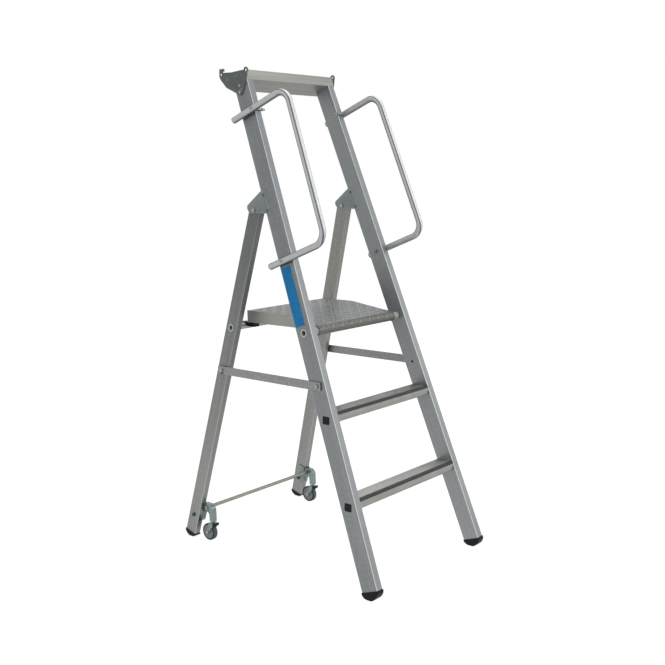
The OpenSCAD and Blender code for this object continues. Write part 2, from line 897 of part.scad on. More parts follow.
// Hinge brackets: two cheeks and a roof folded from one sheet, riveted through the stile
bracket_top = (hinge_plane + bracket_rise + stile_depth * sin(stile_lean)) / cos(stile_lean);
bracket_front = stile_depth - bracket_lap;
bracket_bottom = (hinge_plane - bracket_fall + bracket_front * sin(stile_lean)) / cos(stile_lean);
rivet_above = 12;
rivet_below = 14;
bracket_rivet_heights = [bracket_bottom + rivet_above, bracket_top - rivet_below];
roof_start = on_stile(bracket_top, stile_depth);
// The roof passes the leg's round top, which turns about the pivot
leg_top_radius = leg_depth / 2 - 0.5;
roof_reach = leg_depth / 2 + 4;
roof_clear = leg_top_radius + 1.2 + bracket_sheet;
hinge_mid = [hinge_y, hinge_plane];
// The roof's line is the tangent from its start to a circle of that clearance about the pivot
roof_far = norm(roof_start - hinge_mid);
roof_turn = atan2(roof_start.y - hinge_plane, roof_start.x - hinge_y) - acos(roof_clear / roof_far);
roof_touch = hinge_mid + roof_clear * [cos(roof_turn), sin(roof_turn)];
roof_slope = unit(roof_touch - roof_start);
roof_end = roof_touch + roof_slope * (hinge_y + roof_reach - roof_touch.x) / roof_slope.x;

// A cheek's rear edge ends above the pivot, and a slant joins it to the bottom edge
bracket_heel = 4;
bracket_slant = 10;

module bracket_cheek() {
    polygon([
        on_stile(bracket_top, bracket_front),
        roof_start,
        roof_end,
        [roof_end.x, hinge_plane + bracket_heel],
        [roof_end.x - bracket_slant, hinge_plane - bracket_fall],
        on_stile(bracket_bottom, bracket_front)
    ]);
}

module hinge_bracket(hand) {
    inward = bracket_sheet * [roof_slope.y, -roof_slope.x];
    color("#8b9092")
        difference() {
            side(hand) {
                across_from(-bracket_sheet, bracket_sheet) bracket_cheek();
                across_from(stile_thick, bracket_sheet) bracket_cheek();
                across_from(-bracket_sheet, stile_thick + 2 * bracket_sheet)
                    polygon([roof_start, roof_end, roof_end + inward, roof_start + inward + roof_slope * 2]);
            }
            ground(hinge_y, hinge_height)
                cross_bar(hinge_bolt_d + 2 * seat_gap, -far, 2 * far);
            side(hand)
                along_stile() {
                    for (along = bracket_rivet_heights)
                        translate([0, stile_depth - bracket_lap / 2, along])
                            cross_bar(rivet_d + 2 * seat_gap, -stile_thick, 3 * stile_thick);
                    translate([0, 0, bracket_bottom - stile_depth])
                        cube([stile_thick, stile_depth, 3 * stile_depth + bracket_rise]);
                }
        }
}
module left_hinge_bracket() hinge_bracket(-1);
module right_hinge_bracket() hinge_bracket(1);

module hinge_bracket_rivets() {
    reach = stile_thick + 2 * bracket_sheet;
    color("silver")
        for (hand = [-1, 1], along = bracket_rivet_heights)
            side(hand)
                along_stile()
                    translate([-bracket_sheet, stile_depth - bracket_lap / 2, along]) {
                        cross_bar(rivet_head[0], -rivet_head[1], rivet_head[1]);
                        cross_bar(rivet_d, 0, reach);
                        cross_bar(rivet_head[0], reach, rivet_head[1]);
                    }
}

// Headed pin along X, between two planes inset in the outer faces
module cross_pin(y, z, d, head, outer, inner) {
    intersection() {
        ground(y, z) cross_bar(d, -far, 2 * far);
        difference() {
            between_sides(outer);
            between_sides(inner);
        }
    }
    intersection() {
        ground(y, z) cross_bar(head[0], -far, 2 * far);
        difference() {
            between_sides(outer - head[1]);
            between_sides(outer);
        }
    }
}

module leg_pivot_bolts() {
    inner = stile_thick + bracket_sheet;
    color("gray") {
        cross_pin(hinge_y, hinge_height, hinge_bolt_d, hinge_head, -bracket_sheet, inner + 1);
        intersection() {
            ground(hinge_y, hinge_height) cross_bar(hinge_head[0], -far, 2 * far);
            difference() {
                between_sides(inner);
                between_sides(inner + hinge_head[1]);
            }
        }
    }
}

// Rear legs, their tops rounded about the pivots
module rear_leg(hand) {
    top = (hinge_plane + leg_depth / 2 * sin(leg_lean)) / cos(leg_lean);
    color("lightgray")
        difference() {
            side(hand)
                along_leg()
                    translate([leg_play, -leg_depth, rear_foot - foot_collar])
                        section([0, 0], [leg_thick, leg_depth], section_wall, section_radius, top + leg_depth);
            difference() {
                side(hand)
                    along_leg()
                        translate([-over, -leg_depth - over, top])
                            cube([stile_thick + 2 * over, leg_depth + 2 * over, 2 * leg_depth]);
                ground(hinge_y, hinge_height) cross_bar(2 * leg_top_radius, -far, 2 * far);
            }
            ground(hinge_y, hinge_height) cross_bar(hinge_bolt_d + 2 * turn_gap, -far, 2 * far);
            ground(cross_y, cross_height) cross_bar(tube_d + 2 * seat_gap, -far, 2 * far);
            ground(stay_rear_y, stay_height) cross_bar(stay_pin_d + 2 * seat_gap, -far, 2 * far);
            side(hand)
                along_leg()
                    translate([0, -leg_depth / 2, bracket_bolt_at])
                        cross_bar(bracket_bolt_d + 2 * seat_gap, -over, stile_thick + 2 * over);
        }
}
module left_rear_leg() rear_leg(-1);
module right_rear_leg() rear_leg(1);

// Spacers inside the leg tops, so that the pivot bolts don't crush them
module leg_pivot_bushes() {
    color("#d8d6cc")
        intersection() {
            ground(hinge_y, hinge_height)
                difference() {
                    cross_bar(hinge_bolt_d + 6, -far, 2 * far);
                    cross_bar(hinge_bolt_d + 2 * turn_gap, -far - over, 2 * far + 2 * over);
                }
            difference() {
                between_sides(leg_play + section_wall + seat_gap);
                between_sides(leg_inner - section_wall - seat_gap);
            }
        }
}

module rear_foot(hand) {
    low = [leg_play, -leg_depth];
    high = [leg_inner, 0];
    color("#1c1c22") {
        difference() {
            above_sole(rear_sole_y, rear_sole_z, rear_round)
                side(hand)
                    along_leg()
                        linear_extrude(rear_foot)
                            foot_outline(low, high, foot_wall, section_radius + foot_wall);
            below(foot_clear);
            side(hand)
                along_leg()
                    translate([0, 0, rear_foot - foot_collar])
                        linear_extrude(rear_foot) foot_outline(low, high, seat_gap, section_radius);
        }
        side(hand)
            along_leg()
                translate([0, 0, rear_foot - foot_collar - over])
                    linear_extrude(foot_plug) foot_outline(low, high, -section_wall - seat_gap, over);
    }
}
module left_rear_foot() rear_foot(-1);
module right_rear_foot() rear_foot(1);

// Stays: straight bars pinned to the stiles, with a mouth at the rear that drops over the leg's stud.
// The stud leaves the mouth downwards and forwards when the step folds.
mouth_flare = 10;

module stay(hand) {
    half = stay_width / 2;
    pin = stay_pin_d / 2 + turn_gap;
    corner = 4;
    color("#8f9295")
        ground(0, stay_height)
            across_from(hand > 0 ? stay_half : -stay_half - stay_thick, stay_thick)
                difference() {
                    polygon(round_box(
                        [stay_front_y - stay_end, -half],
                        [stay_rear_y + stay_end, half],
                        corner
                    ));
                    translate([stay_front_y, 0]) circle(pin);
                    translate([stay_rear_y, 0]) {
                        circle(pin + move_gap);
                        polygon([
                            [pin + move_gap, 0],
                            [-pin - move_gap, 0],
                            [-pin - move_gap - mouth_flare, -half - over],
                            [pin + move_gap, -half - over]
                        ]);
                    }
                }
}
module left_stay() stay(-1);
module right_stay() stay(1);

// Pin through one wall of a section, with a shoulder under the stay and a head over it
module stay_pin(y, inset) {
    color("silver")
        for (hand = [-1, 1])
            mirror([hand > 0 ? 0 : 1, 0, 0]) {
                head_start = stay_half + stay_thick + move_gap;
                difference() {
                    ground(y, stay_height) {
                        cross_bar(stay_pin_d, 0, head_start);
                        cross_bar(stay_head[0], head_start, stay_head[1]);
                    }
                    between_sides(inset + section_wall + 2);
                }
                // Shoulder and clinched inner end, on either side of the wall
                difference() {
                    ground(y, stay_height) cross_bar(stay_head[0], 0, stay_half - move_gap / 2);
                    between_sides(inset);
                }
                intersection() {
                    ground(y, stay_height) cross_bar(stay_head[0], 0, far);
                    difference() {
                        between_sides(inset + section_wall);
                        between_sides(inset + section_wall + 2);
                    }
                }
            }
}
module stay_pivots() stay_pin(stay_front_y, 0);
module stay_studs() stay_pin(stay_rear_y, leg_play);

module stile_label() {
    margin = 3;
    start = pivot_along + label_above;
    color("#1478be")
        side(-1)
            along_stile()
                translate([-label_thick, stile_depth - margin - label_width, start])
                    cube([label_thick, label_width, rail_lower - label_below - start]);
}

// Castor brackets: a plate on the leg's front with a tab bolted to its side, and an arch of two cheeks
// and a roof. The arch's back holds the rod and its limb guides the castor's stem.
rod_along = (plane_height(rod_height, mid_in) + leg_depth * sin(leg_lean)) / cos(leg_lean);
plate_fall = 52;
bolt_fall = 39.4;
gusset_fall = 38;
plate_low = rod_along - plate_fall;
plate_high = rod_along + arch_rise + 1;
plate_wing = castor_inset + arch_width / 2 - leg_thick / 2 + 2;
bracket_bolt_at = rod_along - bolt_fall;
tab_depth = 34;
arch_top = rod_height + arch_rise;
arch_under = rod_height - rod_d / 2 - 7;
arch_inner = 11;
gusset_low = rod_height - gusset_fall;
stem_seat = wheel_d + stem_rise;
stem_plate = 4;
spring_seat = rod_height - 8;
guide_d = stem_d - 1;

// The arch's outer line, from the leg over its front to its foot
arch_line = concat(
    [[castor_reach + tab_depth, arch_top]],
    arc([arch_radius - limb_front, arch_top - arch_radius], arch_radius, 90, 180, 2 * corner_steps),
    [[-limb_front, stem_seat]]
);

module arch_cheek() {
    springing = arch_under - arch_inner;
    rear_springing = castor_reach + 4 - arch_inner;
    polygon(concat(
        arch_line,
        [[limb_back, stem_seat]],
        arc([limb_back + arch_inner, springing], arch_inner, 180, 90, corner_steps),
        arc([rear_springing, springing], arch_inner, 90, 0, corner_steps),
        [[castor_reach + 8, gusset_low], [castor_reach + tab_depth, gusset_low]]
    ));
}

module at_castor(hand) {
    ground(stem_y, 0) translate([hand * castor_x, 0, 0]) children();
}

module cylinder_from(low, high, d) {
    translate([0, 0, low]) cylinder(d = d, h = high - low);
}

module castor_bracket(hand) {
    limb = limb_front + limb_back;
    color("#8b9696")
        difference() {
            union() {
                difference() {
                    union() {
                        side(hand)
                            along_leg()
                                translate([leg_play, -leg_depth - castor_sheet, plate_low])
                                    cube([leg_thick + plate_wing, castor_sheet, plate_high - plate_low]);
                        at_castor(hand) {
                            for (end = [-1, 1])
                                translate([end * (arch_width - castor_sheet) / 2, 0, 0])
                                    across(castor_sheet) arch_cheek();
                            across(arch_width - 1)
                                polygon(concat(arch_line, reversed(moved(arch_line, castor_sheet))));
                            across(arch_width - 1)
                                translate([-limb_front, stem_seat]) square([limb, stem_plate]);
                            across(arch_width - 1)
                                translate([0.5 - limb_front, spring_seat]) square([limb - 0.5, castor_sheet]);
                        }
                    }
                    // Nothing of the arch lies behind the front of the leg
                    side(hand)
                        along_leg()
                            translate([-far, -leg_depth, -far])
                                cube([2 * far, far, 2 * far]);
                }
                side(hand)
                    along_leg()
                        translate([leg_inner, -leg_depth - castor_sheet, plate_low])
                            cube([castor_sheet, tab_depth, plate_high - plate_low]);
            }
            ground(rod_y, rod_height) cross_bar(rod_d + 2 * seat_gap, -far, 2 * far);
            at_castor(hand) {
                cylinder_from(stem_seat - over, stem_seat + stem_plate + over, stem_d + 2 * turn_gap);
                cylinder_from(spring_seat - over, spring_seat + castor_sheet + over, guide_d + 2 * turn_gap);
            }
            side(hand)
                along_leg()
                    translate([0, -leg_depth / 2, bracket_bolt_at])
                        cross_bar(bracket_bolt_d + 2 * seat_gap, -over, 2 * stile_thick);
        }
}
module left_castor_bracket() castor_bracket(-1);
module right_castor_bracket() castor_bracket(1);

module castor_bracket_bolts() {
    reach = leg_thick + castor_sheet;
    color("gray")
        for (hand = [-1, 1])
            side(hand)
                along_leg()
                    translate([leg_play, -leg_depth / 2, bracket_bolt_at]) {
                        cross_bar(bracket_bolt_head[0], -bracket_bolt_head[1], bracket_bolt_head[1]);
                        cross_bar(bracket_bolt_d, 0, reach + 2);
                        cross_bar(bracket_bolt_head[0], reach, bracket_bolt_head[1]);
                    }
}

// The rod joins both brackets, with a cap on each end
rod_cap = [rod_d + 5, 2];

module castor_rod() {
    reach = castor_x + arch_width / 2;
    color("#a9adb0")
        ground(rod_y, rod_height) {
            cross_bar(rod_d, -reach - rod_cap[1] / 2, 2 * reach + rod_cap[1]);
            cross_bar(rod_cap[0], -reach - rod_cap[1], rod_cap[1]);
            cross_bar(rod_cap[0], reach, rod_cap[1]);
        }
}

// Castor stems: a collar stops them on the arch's foot, and a riveted end under the fork's crown carries it
crown_low = wheel_d + 2.5;
collar_low = stem_seat + stem_plate + seat_gap;
collar_high = collar_low + 3;
collar_d = 2 * (limb_front - castor_sheet - move_gap);
rivet_low = crown_low - move_gap / 2 - 2.5;

module castor_stem(hand) {
    color("silver")
        at_castor(hand) {
            cylinder_from(rivet_low, collar_high, stem_d);
            cylinder_from(rivet_low, crown_low - move_gap / 2, stem_d + 4);
            cylinder_from(collar_low, collar_high, collar_d);
            cylinder_from(collar_low, spring_seat + castor_sheet + 2.5, guide_d);
        }
}
module left_castor_stem() castor_stem(-1);
module right_castor_stem() castor_stem(1);

// Castor springs: coils round the stems that press their collars down
spring_rings = 12;
spring_sides = 6;
spring_radius = guide_d / 2 + 0.3 + spring_wire / 2;
spring_low = collar_high + spring_wire / 2 + 0.2;
spring_high = spring_seat - spring_wire / 2 - 0.2;
spring_steps = spring_rings * spring_turns;
spring_path = [
    for (i = [0 : spring_steps])
        let (a = 360 * i / spring_rings)
        [spring_radius * cos(a), spring_radius * sin(a), spring_low + (spring_high - spring_low) * i / spring_steps]
];

// Gap between two turns
spring_gap = (spring_high - spring_low) / spring_turns - spring_wire;
echo(least_spring_gap = spring_gap);

function path_way(p, i) = unit(p[min(i + 1, len(p) - 1)] - p[max(i - 1, 0)]);
function ring_points(p, i) =
    let (way = path_way(p, i), u = unit([0, 0, 1] - way.z * way), v = cross(way, u))
    [for (k = [0 : spring_sides - 1])
        p[i] + spring_wire / 2 * (cos(360 * k / spring_sides) * u + sin(360 * k / spring_sides) * v)];

module wire(p) {
    n = spring_sides;
    last = (len(p) - 1) * n;
    points = [for (i = [0 : len(p) - 1]) each ring_points(p, i)];
    skin = [
        for (i = [0 : len(p) - 2], k = [0 : n - 1])
            let (a = i * n + k, b = i * n + (k + 1) % n)
            each [[a, a + n, b], [b, a + n, b + n]]
    ];
    start_cap = [for (k = [1 : n - 2]) [0, k, k + 1]];
    end_cap = [for (k = [1 : n - 2]) [last, last + k + 1, last + k]];
    polyhedron(points, concat(skin, start_cap, end_cap));
}

module castor_spring(hand) {
    color("#6f7376")
        at_castor(hand) wire(spring_path);
}
module left_castor_spring() castor_spring(-1);
module right_castor_spring() castor_spring(1);

// Castors: a swivel head and fork, a guard, an axle and a wheel
fork_sheet = 2.2;
head_d = 20;
cheek_half = 7;
cheek_skirt = 5;

module castor_fork(hand) {
    wide = 2 * (fork_inner + fork_sheet);
    crown_high = crown_low + fork_sheet;
    back = head_d / 2;
    color("#8b9696")
        at_castor(hand)
            difference() {
                union() {
                    translate([-wide / 2, -head_d / 2, crown_low])
                        cube([wide, back + head_d / 2, fork_sheet]);
                    cylinder_from(crown_low, stem_seat - castor_travel - move_gap, head_d);
                    for (end = [-1, 1])
                        translate([end * (fork_inner + fork_sheet / 2), 0, 0])
                            across(fork_sheet) {
                                translate([castor_trail, axle_z]) circle(cheek_half);
                                polygon([
                                    [-head_d / 2, crown_high],
                                    [back, crown_high],
                                    [back, crown_low],
                                    [castor_trail + cheek_half, axle_z],
                                    [castor_trail - cheek_half, axle_z],
                                    [-head_d / 2, crown_low - cheek_skirt]
                                ]);
                            }
                }
                translate([0, castor_trail, axle_z])
                    cross_bar(axle_d + 2 * seat_gap, -wide, 2 * wide);
                cylinder_from(crown_low - over, stem_seat + over, stem_d + 2 * turn_gap);
            }
}
module left_castor_fork() castor_fork(-1);
module right_castor_fork() castor_fork(1);

// Black moulded guard clipped under the front of the fork's crown
module castor_guard(hand) {
    front = -head_d / 2 - seat_gap;
    color("#1c1c22")
        at_castor(hand)
            across(2 * (fork_inner - seat_gap))
                polygon([
                    [front + 3, crown_low - seat_gap],
                    [front, crown_low - seat_gap],
                    [front, crown_low + fork_sheet],
                    [front - 9, crown_low + 5],
                    [front - 8, crown_low - 3],
                    [front, crown_low - 9],
                    [front + 3, crown_low - 7]
                ]);
}
module left_castor_guard() castor_guard(-1);
module right_castor_guard() castor_guard(1);

module castor_axle(hand) {
    half = fork_inner + fork_sheet;
    axle_head = [axle_d + 4, 2];
    color("gray")
        at_castor(hand)
            translate([0, castor_trail, axle_z]) {
                cross_bar(axle_d, -half, 2 * half);
                cross_bar(axle_head[0], -half - axle_head[1], axle_head[1]);
                cross_bar(axle_head[0], half, axle_head[1]);
            }
}
module left_castor_axle() castor_axle(-1);
module right_castor_axle() castor_axle(1);

module at_wheel(hand) {
    at_castor(hand) translate([0, castor_trail, axle_z]) rotate([0, 90, 0]) children();
}

// Wheel: a moulded core with a hub, and a grey tyre with round shoulders
module wheel_core(hand) {
    rim = wheel_d / 2 - tyre_thick;
    hub = axle_d / 2 + 4;
    color("#85898c")
        at_wheel(hand)
            rotate_extrude()
                polygon([
                    [axle_d / 2 + turn_gap, -wheel_width / 2 - 0.6],
                    [hub, -wheel_width / 2 - 0.6],
                    [hub + 2, -wheel_width / 2 + 3],
                    [rim - 3, -wheel_width / 2 + 3],
                    [rim, -wheel_width / 2 + 1],
                    [rim, wheel_width / 2 - 1],
                    [rim - 3, wheel_width / 2 - 3],
                    [hub + 2, wheel_width / 2 - 3],
                    [hub, wheel_width / 2 + 0.6],
                    [axle_d / 2 + turn_gap, wheel_width / 2 + 0.6]
                ]);
}
module left_wheel_core() wheel_core(-1);
module right_wheel_core() wheel_core(1);

module wheel_tyre(hand) {
    outer = wheel_d / 2;
    rim = outer - tyre_thick;
    half = wheel_width / 2;
    shoulder = tyre_thick * 0.7;
    step = 1;
    color("#565b60")
        at_wheel(hand)
            rotate_extrude()
                polygon(concat(
                    [[rim, -half + step]],
                    arc([outer - shoulder, -half + shoulder], shoulder, 270, 360, corner_steps),
                    arc([outer - shoulder, half - shoulder], shoulder, 0, 90, corner_steps),
                    [[rim, half - step]]
                ));
}
module left_wheel_tyre() wheel_tyre(-1);
module right_wheel_tyre() wheel_tyre(1);

left_stile();
right_stile();
left_front_foot();
right_front_foot();
lower_tread();
upper_tread();
tread_grip_strips();
tread_end_plugs();
platform_pivot_tube();
tool_tray();
left_tray_end();
right_tray_end();
tray_end_screws();
left_handrail();
right_handrail();
handrail_end_plugs();
handrail_bolts();
handrail_nuts();
left_hinge_bracket();
right_hinge_bracket();
hinge_bracket_rivets();
leg_pivot_bolts();
stay_pivots();
stile_label();
left_rear_leg();
right_rear_leg();
left_rear_foot();
right_rear_foot();
rear_cross_tube();
leg_pivot_bushes();
stay_studs();
left_castor_bracket();
right_castor_bracket();
castor_bracket_bolts();
castor_rod();
left_castor_spring();
right_castor_spring();
platform_deck();
platform_bushes();
platform_hooks();
left_stay();
right_stay();
left_castor_stem();
right_castor_stem();
left_castor_fork();
right_castor_fork();
left_castor_guard();
right_castor_guard();
left_castor_axle();
right_castor_axle();
left_wheel_core();
right_wheel_core();
left_wheel_tyre();
right_wheel_tyre();
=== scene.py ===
"""The looks of a folding podium step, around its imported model. Metres, Z up, +Y to the rear."""
import json
import math

import bmesh
import bpy
from mathutils import Matrix, Vector


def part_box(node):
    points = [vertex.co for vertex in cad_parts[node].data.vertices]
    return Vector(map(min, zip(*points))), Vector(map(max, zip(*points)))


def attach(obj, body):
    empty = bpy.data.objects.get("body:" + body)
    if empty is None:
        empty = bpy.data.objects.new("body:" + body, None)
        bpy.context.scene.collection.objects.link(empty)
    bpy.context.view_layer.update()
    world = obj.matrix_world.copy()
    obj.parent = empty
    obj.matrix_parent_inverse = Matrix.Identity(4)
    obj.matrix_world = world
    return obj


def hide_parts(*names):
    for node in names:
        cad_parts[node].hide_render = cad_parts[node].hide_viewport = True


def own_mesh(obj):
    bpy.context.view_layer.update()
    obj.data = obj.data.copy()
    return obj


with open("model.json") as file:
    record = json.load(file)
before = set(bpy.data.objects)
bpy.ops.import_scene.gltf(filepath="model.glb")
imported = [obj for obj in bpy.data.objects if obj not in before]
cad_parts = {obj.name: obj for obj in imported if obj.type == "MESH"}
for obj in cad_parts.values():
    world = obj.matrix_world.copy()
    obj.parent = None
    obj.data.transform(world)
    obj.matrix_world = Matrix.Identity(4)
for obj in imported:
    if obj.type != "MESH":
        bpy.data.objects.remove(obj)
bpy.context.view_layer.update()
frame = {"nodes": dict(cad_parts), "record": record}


# Stiles and rear legs: box extrusions of aluminium, anodised satin and sawn to length, with round corners.
# The die leaves fine lines along them, and carrying leaves cloudy patches. The fronts take a colour of
# their own as painted shading, the round corners carry a painted highlight, and painted shade deepens the
# colours towards the top. The lines are really about 0.3 mm apart, and are drawn at 5 mm so that they show.

SIDES = ("left", "right")
SIDE_TAPER = math.radians(2.95)
STILE_LEAN = math.radians(20.1)
LEG_LEAN = math.radians(16.2)
LINE_PITCH = 0.005
LINE_RUN = 0.9
CLOUD_WIDTH = 0.07
CLOUD_RUN = 0.22
MOTTLE_SIZE = 0.007
TINT_START = 0.2
TINT_END = 1.1
SAME_POINT = 1e-5
FLAT_TURN = math.radians(1)
SHARP_TURN = math.radians(32)
BODY_OF = {node: body for body, nodes in frame["record"]["behaviour"]["bodies"].items() for node in nodes}


def linear(hex_colour):
    """An sRGB hex colour as the linear one that a shader takes."""
    values = [int(hex_colour[i:i + 2], 16) / 255 for i in (1, 3, 5)]
    return (*[v / 12.92 if v <= 0.04045 else ((v + 0.055) / 1.055) ** 2.4 for v in values], 1.0)


def output(source):
    """A socket as it is, or a node's first output that is in use."""
    if isinstance(source, bpy.types.NodeSocket):
        return source
    return next(socket for socket in source.outputs if socket.enabled)


def add(material, kind, links=None, **settings):
    """Adds a shader node with its settings, and sets or links its inputs.

    An input is given by its name, or by its number among those that the settings leave in use.
    """
    node = material.node_tree.nodes.new("ShaderNode" + kind)
    for name, value in settings.items():
        setattr(node, name, value)
    in_use = [socket for socket in node.inputs if socket.enabled]
    for key, value in (links or {}).items():
        socket = in_use[key] if isinstance(key, int) else node.inputs[key]
        if isinstance(value, (bpy.types.Node, bpy.types.NodeSocket)):
            material.node_tree.links.new(output(value), socket)
        else:
            socket.default_value = value
    return node


def start_material(name, values):
    """A new material, with plain values for sockets of its shader."""
    material = bpy.data.materials.new(name)
    material.use_nodes = True
    for socket, value in values.items():
        material.node_tree.nodes["Principled BSDF"].inputs[socket].default_value = value
    return material


def connect(material, source, socket):
    """Links a node to a socket of a material's shader."""
    shader = material.node_tree.nodes["Principled BSDF"]
    material.node_tree.links.new(output(source), shader.inputs[socket])


def finish(material, colour, rough, pattern, strength, depth):
    """Gives a material its colour, its roughness and the relief of a pattern."""
    connect(material, colour, "Base Color")
    connect(material, rough, "Roughness")
    relief = add(material, "Bump", {"Height": pattern, "Strength": strength, "Distance": depth})
    connect(material, relief, "Normal")


def cover(material, share, colour, **settings):
    """Lays another colour over a material's own, as far as share goes."""
    own = material.node_tree.nodes["Principled BSDF"].inputs["Base Color"].links[0].from_socket
    mixed = add(material, "Mix", {0: share, 1: own, 2: linear(colour)}, data_type="RGBA", **settings)
    connect(material, mixed, "Base Color")


def new_piece(name, shape, material, body, sharp=SHARP_TURN):
    """Makes a piece of a built shape, round but for its sharp edges. It rides on a body and has a slot."""
    mesh = bpy.data.meshes.new(name)
    shape.to_mesh(mesh)
    shape.free()
    mesh.polygons.foreach_set("use_smooth", [True] * len(mesh.polygons))
    mesh.set_sharp_from_angle(angle=sharp)
    mesh.materials.append(material)
    piece = bpy.data.objects.new(name, mesh)
    bpy.context.scene.collection.objects.link(piece)
    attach(piece, body)
    return piece


def eased(node, material, edge=0.0, steps=2):
    """A CAD node with its flat faces whole and its sharp edges broken, which stands for that node."""
    shape = bmesh.new()
    shape.from_mesh(frame["nodes"][node].data)
    bmesh.ops.remove_doubles(shape, verts=shape.verts, dist=SAME_POINT)
    bmesh.ops.dissolve_limit(shape, angle_limit=FLAT_TURN, verts=shape.verts, edges=shape.edges)
    piece = new_piece("eased_" + node, shape, material, BODY_OF[node])
    if edge:
        bevel = piece.modifiers.new("broken_edges", "BEVEL")
        bevel.width = edge
        bevel.segments = steps
        bevel.limit_method = "ANGLE"
        bevel.angle_limit = SHARP_TURN
        bevel.use_clamp_overlap = False
        bevel.harden_normals = True
    else:
        piece.modifiers.new("flat_faces", "WEIGHTED_NORMAL").keep_sharp = True
    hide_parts(node)


def extruded_aluminium(name, turn, dull, bright, front, corner_highlight, top):
    """Anodised extrusion, mottled and cloudy from dull to bright. Turn lays its die lines along it.

    Faces to the front go to the colour front, as painted shading for how the light falls on them. Round
    corners get the corner colour as a painted highlight, and the tint top deepens the colours with the
    height as painted shade.
    """
    material = start_material(name, {"Metallic": 0.7})
    coords = add(material, "TexCoord").outputs
    place = coords["Object"]
    along = add(material, "Mapping", {"Vector": place, "Rotation": turn,
                                      "Scale": (LINE_PITCH, LINE_PITCH, LINE_RUN)},
                vector_type="TEXTURE")
    lines = add(material, "TexNoise", {"Vector": along, "Scale": 1.0, "Detail": 3.0})
    drift = add(material, "Mapping", {"Vector": place, "Rotation": turn,
                                      "Scale": (CLOUD_WIDTH, CLOUD_WIDTH, CLOUD_RUN)},
                vector_type="TEXTURE")
    clouds = add(material, "TexNoise", {"Vector": drift, "Scale": 1.0, "Detail": 4.0})
    mottle = add(material, "TexNoise", {"Vector": place, "Scale": 1 / MOTTLE_SIZE, "Detail": 3.0})
    both = add(material, "Math", {0: lines, 1: clouds}, operation="ADD")
    all_three = add(material, "Math", {0: both, 1: mottle}, operation="ADD")
    shade = add(material, "MapRange", {"Value": all_three, "From Min": 1.1, "From Max": 1.9})
    facing = add(material, "SeparateXYZ", {0: coords["Normal"]}).outputs
    # Painted shading: faces to the front take the colour front in place of bright, for how the light falls
    # on them.
    front_shading_share = add(material, "MapRange", {"Value": facing["Y"], "From Min": -0.5, "From Max": -0.85})
    front_light_tone = add(material, "Mix", {0: front_shading_share, 1: linear(bright), 2: linear(front)}, data_type="RGBA")
    colour = add(material, "Mix", {0: shade, 1: linear(dull), 2: front_light_tone}, data_type="RGBA")
    rough = add(material, "MapRange", {"Value": clouds, "From Min": 0.35, "From Max": 0.65,
                                       "To Min": 0.34, "To Max": 0.5})
    finish(material, colour, rough, lines, strength=0.12, depth=0.0004)
    # Painted highlight: the round corners between the sides and the fronts are laid over with a pale
    # colour.
    both_ways = add(material, "Math", {0: facing["X"], 1: facing["Y"]}, operation="MULTIPLY")
    round_off = add(material, "Math", {0: both_ways}, operation="ABSOLUTE")
    rubbed_and_highlit = add(material, "MapRange", {"Value": round_off, "From Min": 0.12, "From Max": 0.4})
    cover(material, rubbed_and_highlit, corner_highlight)
    # Painted shade: the colours are multiplied by the tint top more and more towards the top. On the legs
    # it stands for the shade under the stiles and the platform.
    height = add(material, "SeparateXYZ", {0: place}).outputs["Z"]
    painted_top_shade = add(material, "MapRange", {"Value": height, "From Min": TINT_START, "From Max": TINT_END})
    cover(material, painted_top_shade, top, blend_type="MULTIPLY")
    return material


# Painted shade: the left side's colours are deeper than the right's, for the left stile and leg stand in
# shade, and the left leg's top is darkened more.
for side, taper, dull, bright, front, leg_top_shade in (
        ("left", SIDE_TAPER, "#7a7d7f", "#919495", "#838586", "#b6b9bf"),
        ("right", -SIDE_TAPER, "#848788", "#9a9c9d", "#8b8d8d", "#f2f1ee")):
    stile = extruded_aluminium(f"anodised_stile_{side}", (-STILE_LEAN, taper, 0), dull, bright, front,
                               corner_highlight="#c6c7c8", top="#e5e7e8")
    leg = extruded_aluminium(f"anodised_leg_{side}", (LEG_LEAN, taper, 0), "#7f807d", "#989995", "#8f908d",
                             corner_highlight="#aaaba8", top=leg_top_shade)
    eased(f"{side}_stile", stile)
    eased(f"{side}_rear_leg", leg)


# Feet: black rubber caps with a round sole, moulded in one piece and pressed into the sections.
# The rubber is matt, with a fine grain, and its edges and soles are rubbed grey. The mould's grain is
# about 0.2 mm. Here and on the other mouldings it is drawn at 1.2 mm or more, so that it shows.

RUBBED_PATCH = 0.03


def moulded(name, colour, rubbed_and_highlit, rough, grain, wear=0.5):
    """Moulded rubber or plastic: an even grain from the mould, rubbed on its edges and in patches."""
    material = start_material(name, {"Specular IOR Level": 0.16})
    place = add(material, "TexCoord").outputs["Object"]
    patches = add(material, "TexNoise", {"Vector": place, "Scale": 1 / RUBBED_PATCH, "Detail": 4.0})
    pits = add(material, "TexNoise", {"Vector": place, "Scale": 1 / grain, "Detail": 2.0})
    sharp = add(material, "NewGeometry").outputs["Pointiness"]
    edge = add(material, "MapRange", {"Value": sharp, "From Min": 0.51, "From Max": 0.6, "To Max": wear})
    patch = add(material, "MapRange", {"Value": patches, "From Min": 0.5, "From Max": 0.8, "To Max": wear})
    most = add(material, "Math", {0: edge, 1: patch}, operation="MAXIMUM")
    mixed = add(material, "Mix", {0: most, 1: linear(colour), 2: linear(rubbed_and_highlit)}, data_type="RGBA")
    matt = add(material, "MapRange", {"Value": patches, "From Min": 0.3, "From Max": 0.7,
                                      "To Min": rough - 0.06, "To Max": rough + 0.08})
    finish(material, mixed, matt, pits, strength=0.25, depth=0.0003)
    return material


foot_rubber = moulded("moulded_foot_rubber", "#0a0b0e", "#2a2c33", rough=0.5, grain=0.0012, wear=0.3)
for side in SIDES:
    eased(f"{side}_front_foot", foot_rubber, edge=0.0012)
    eased(f"{side}_rear_foot", foot_rubber, edge=0.0012)


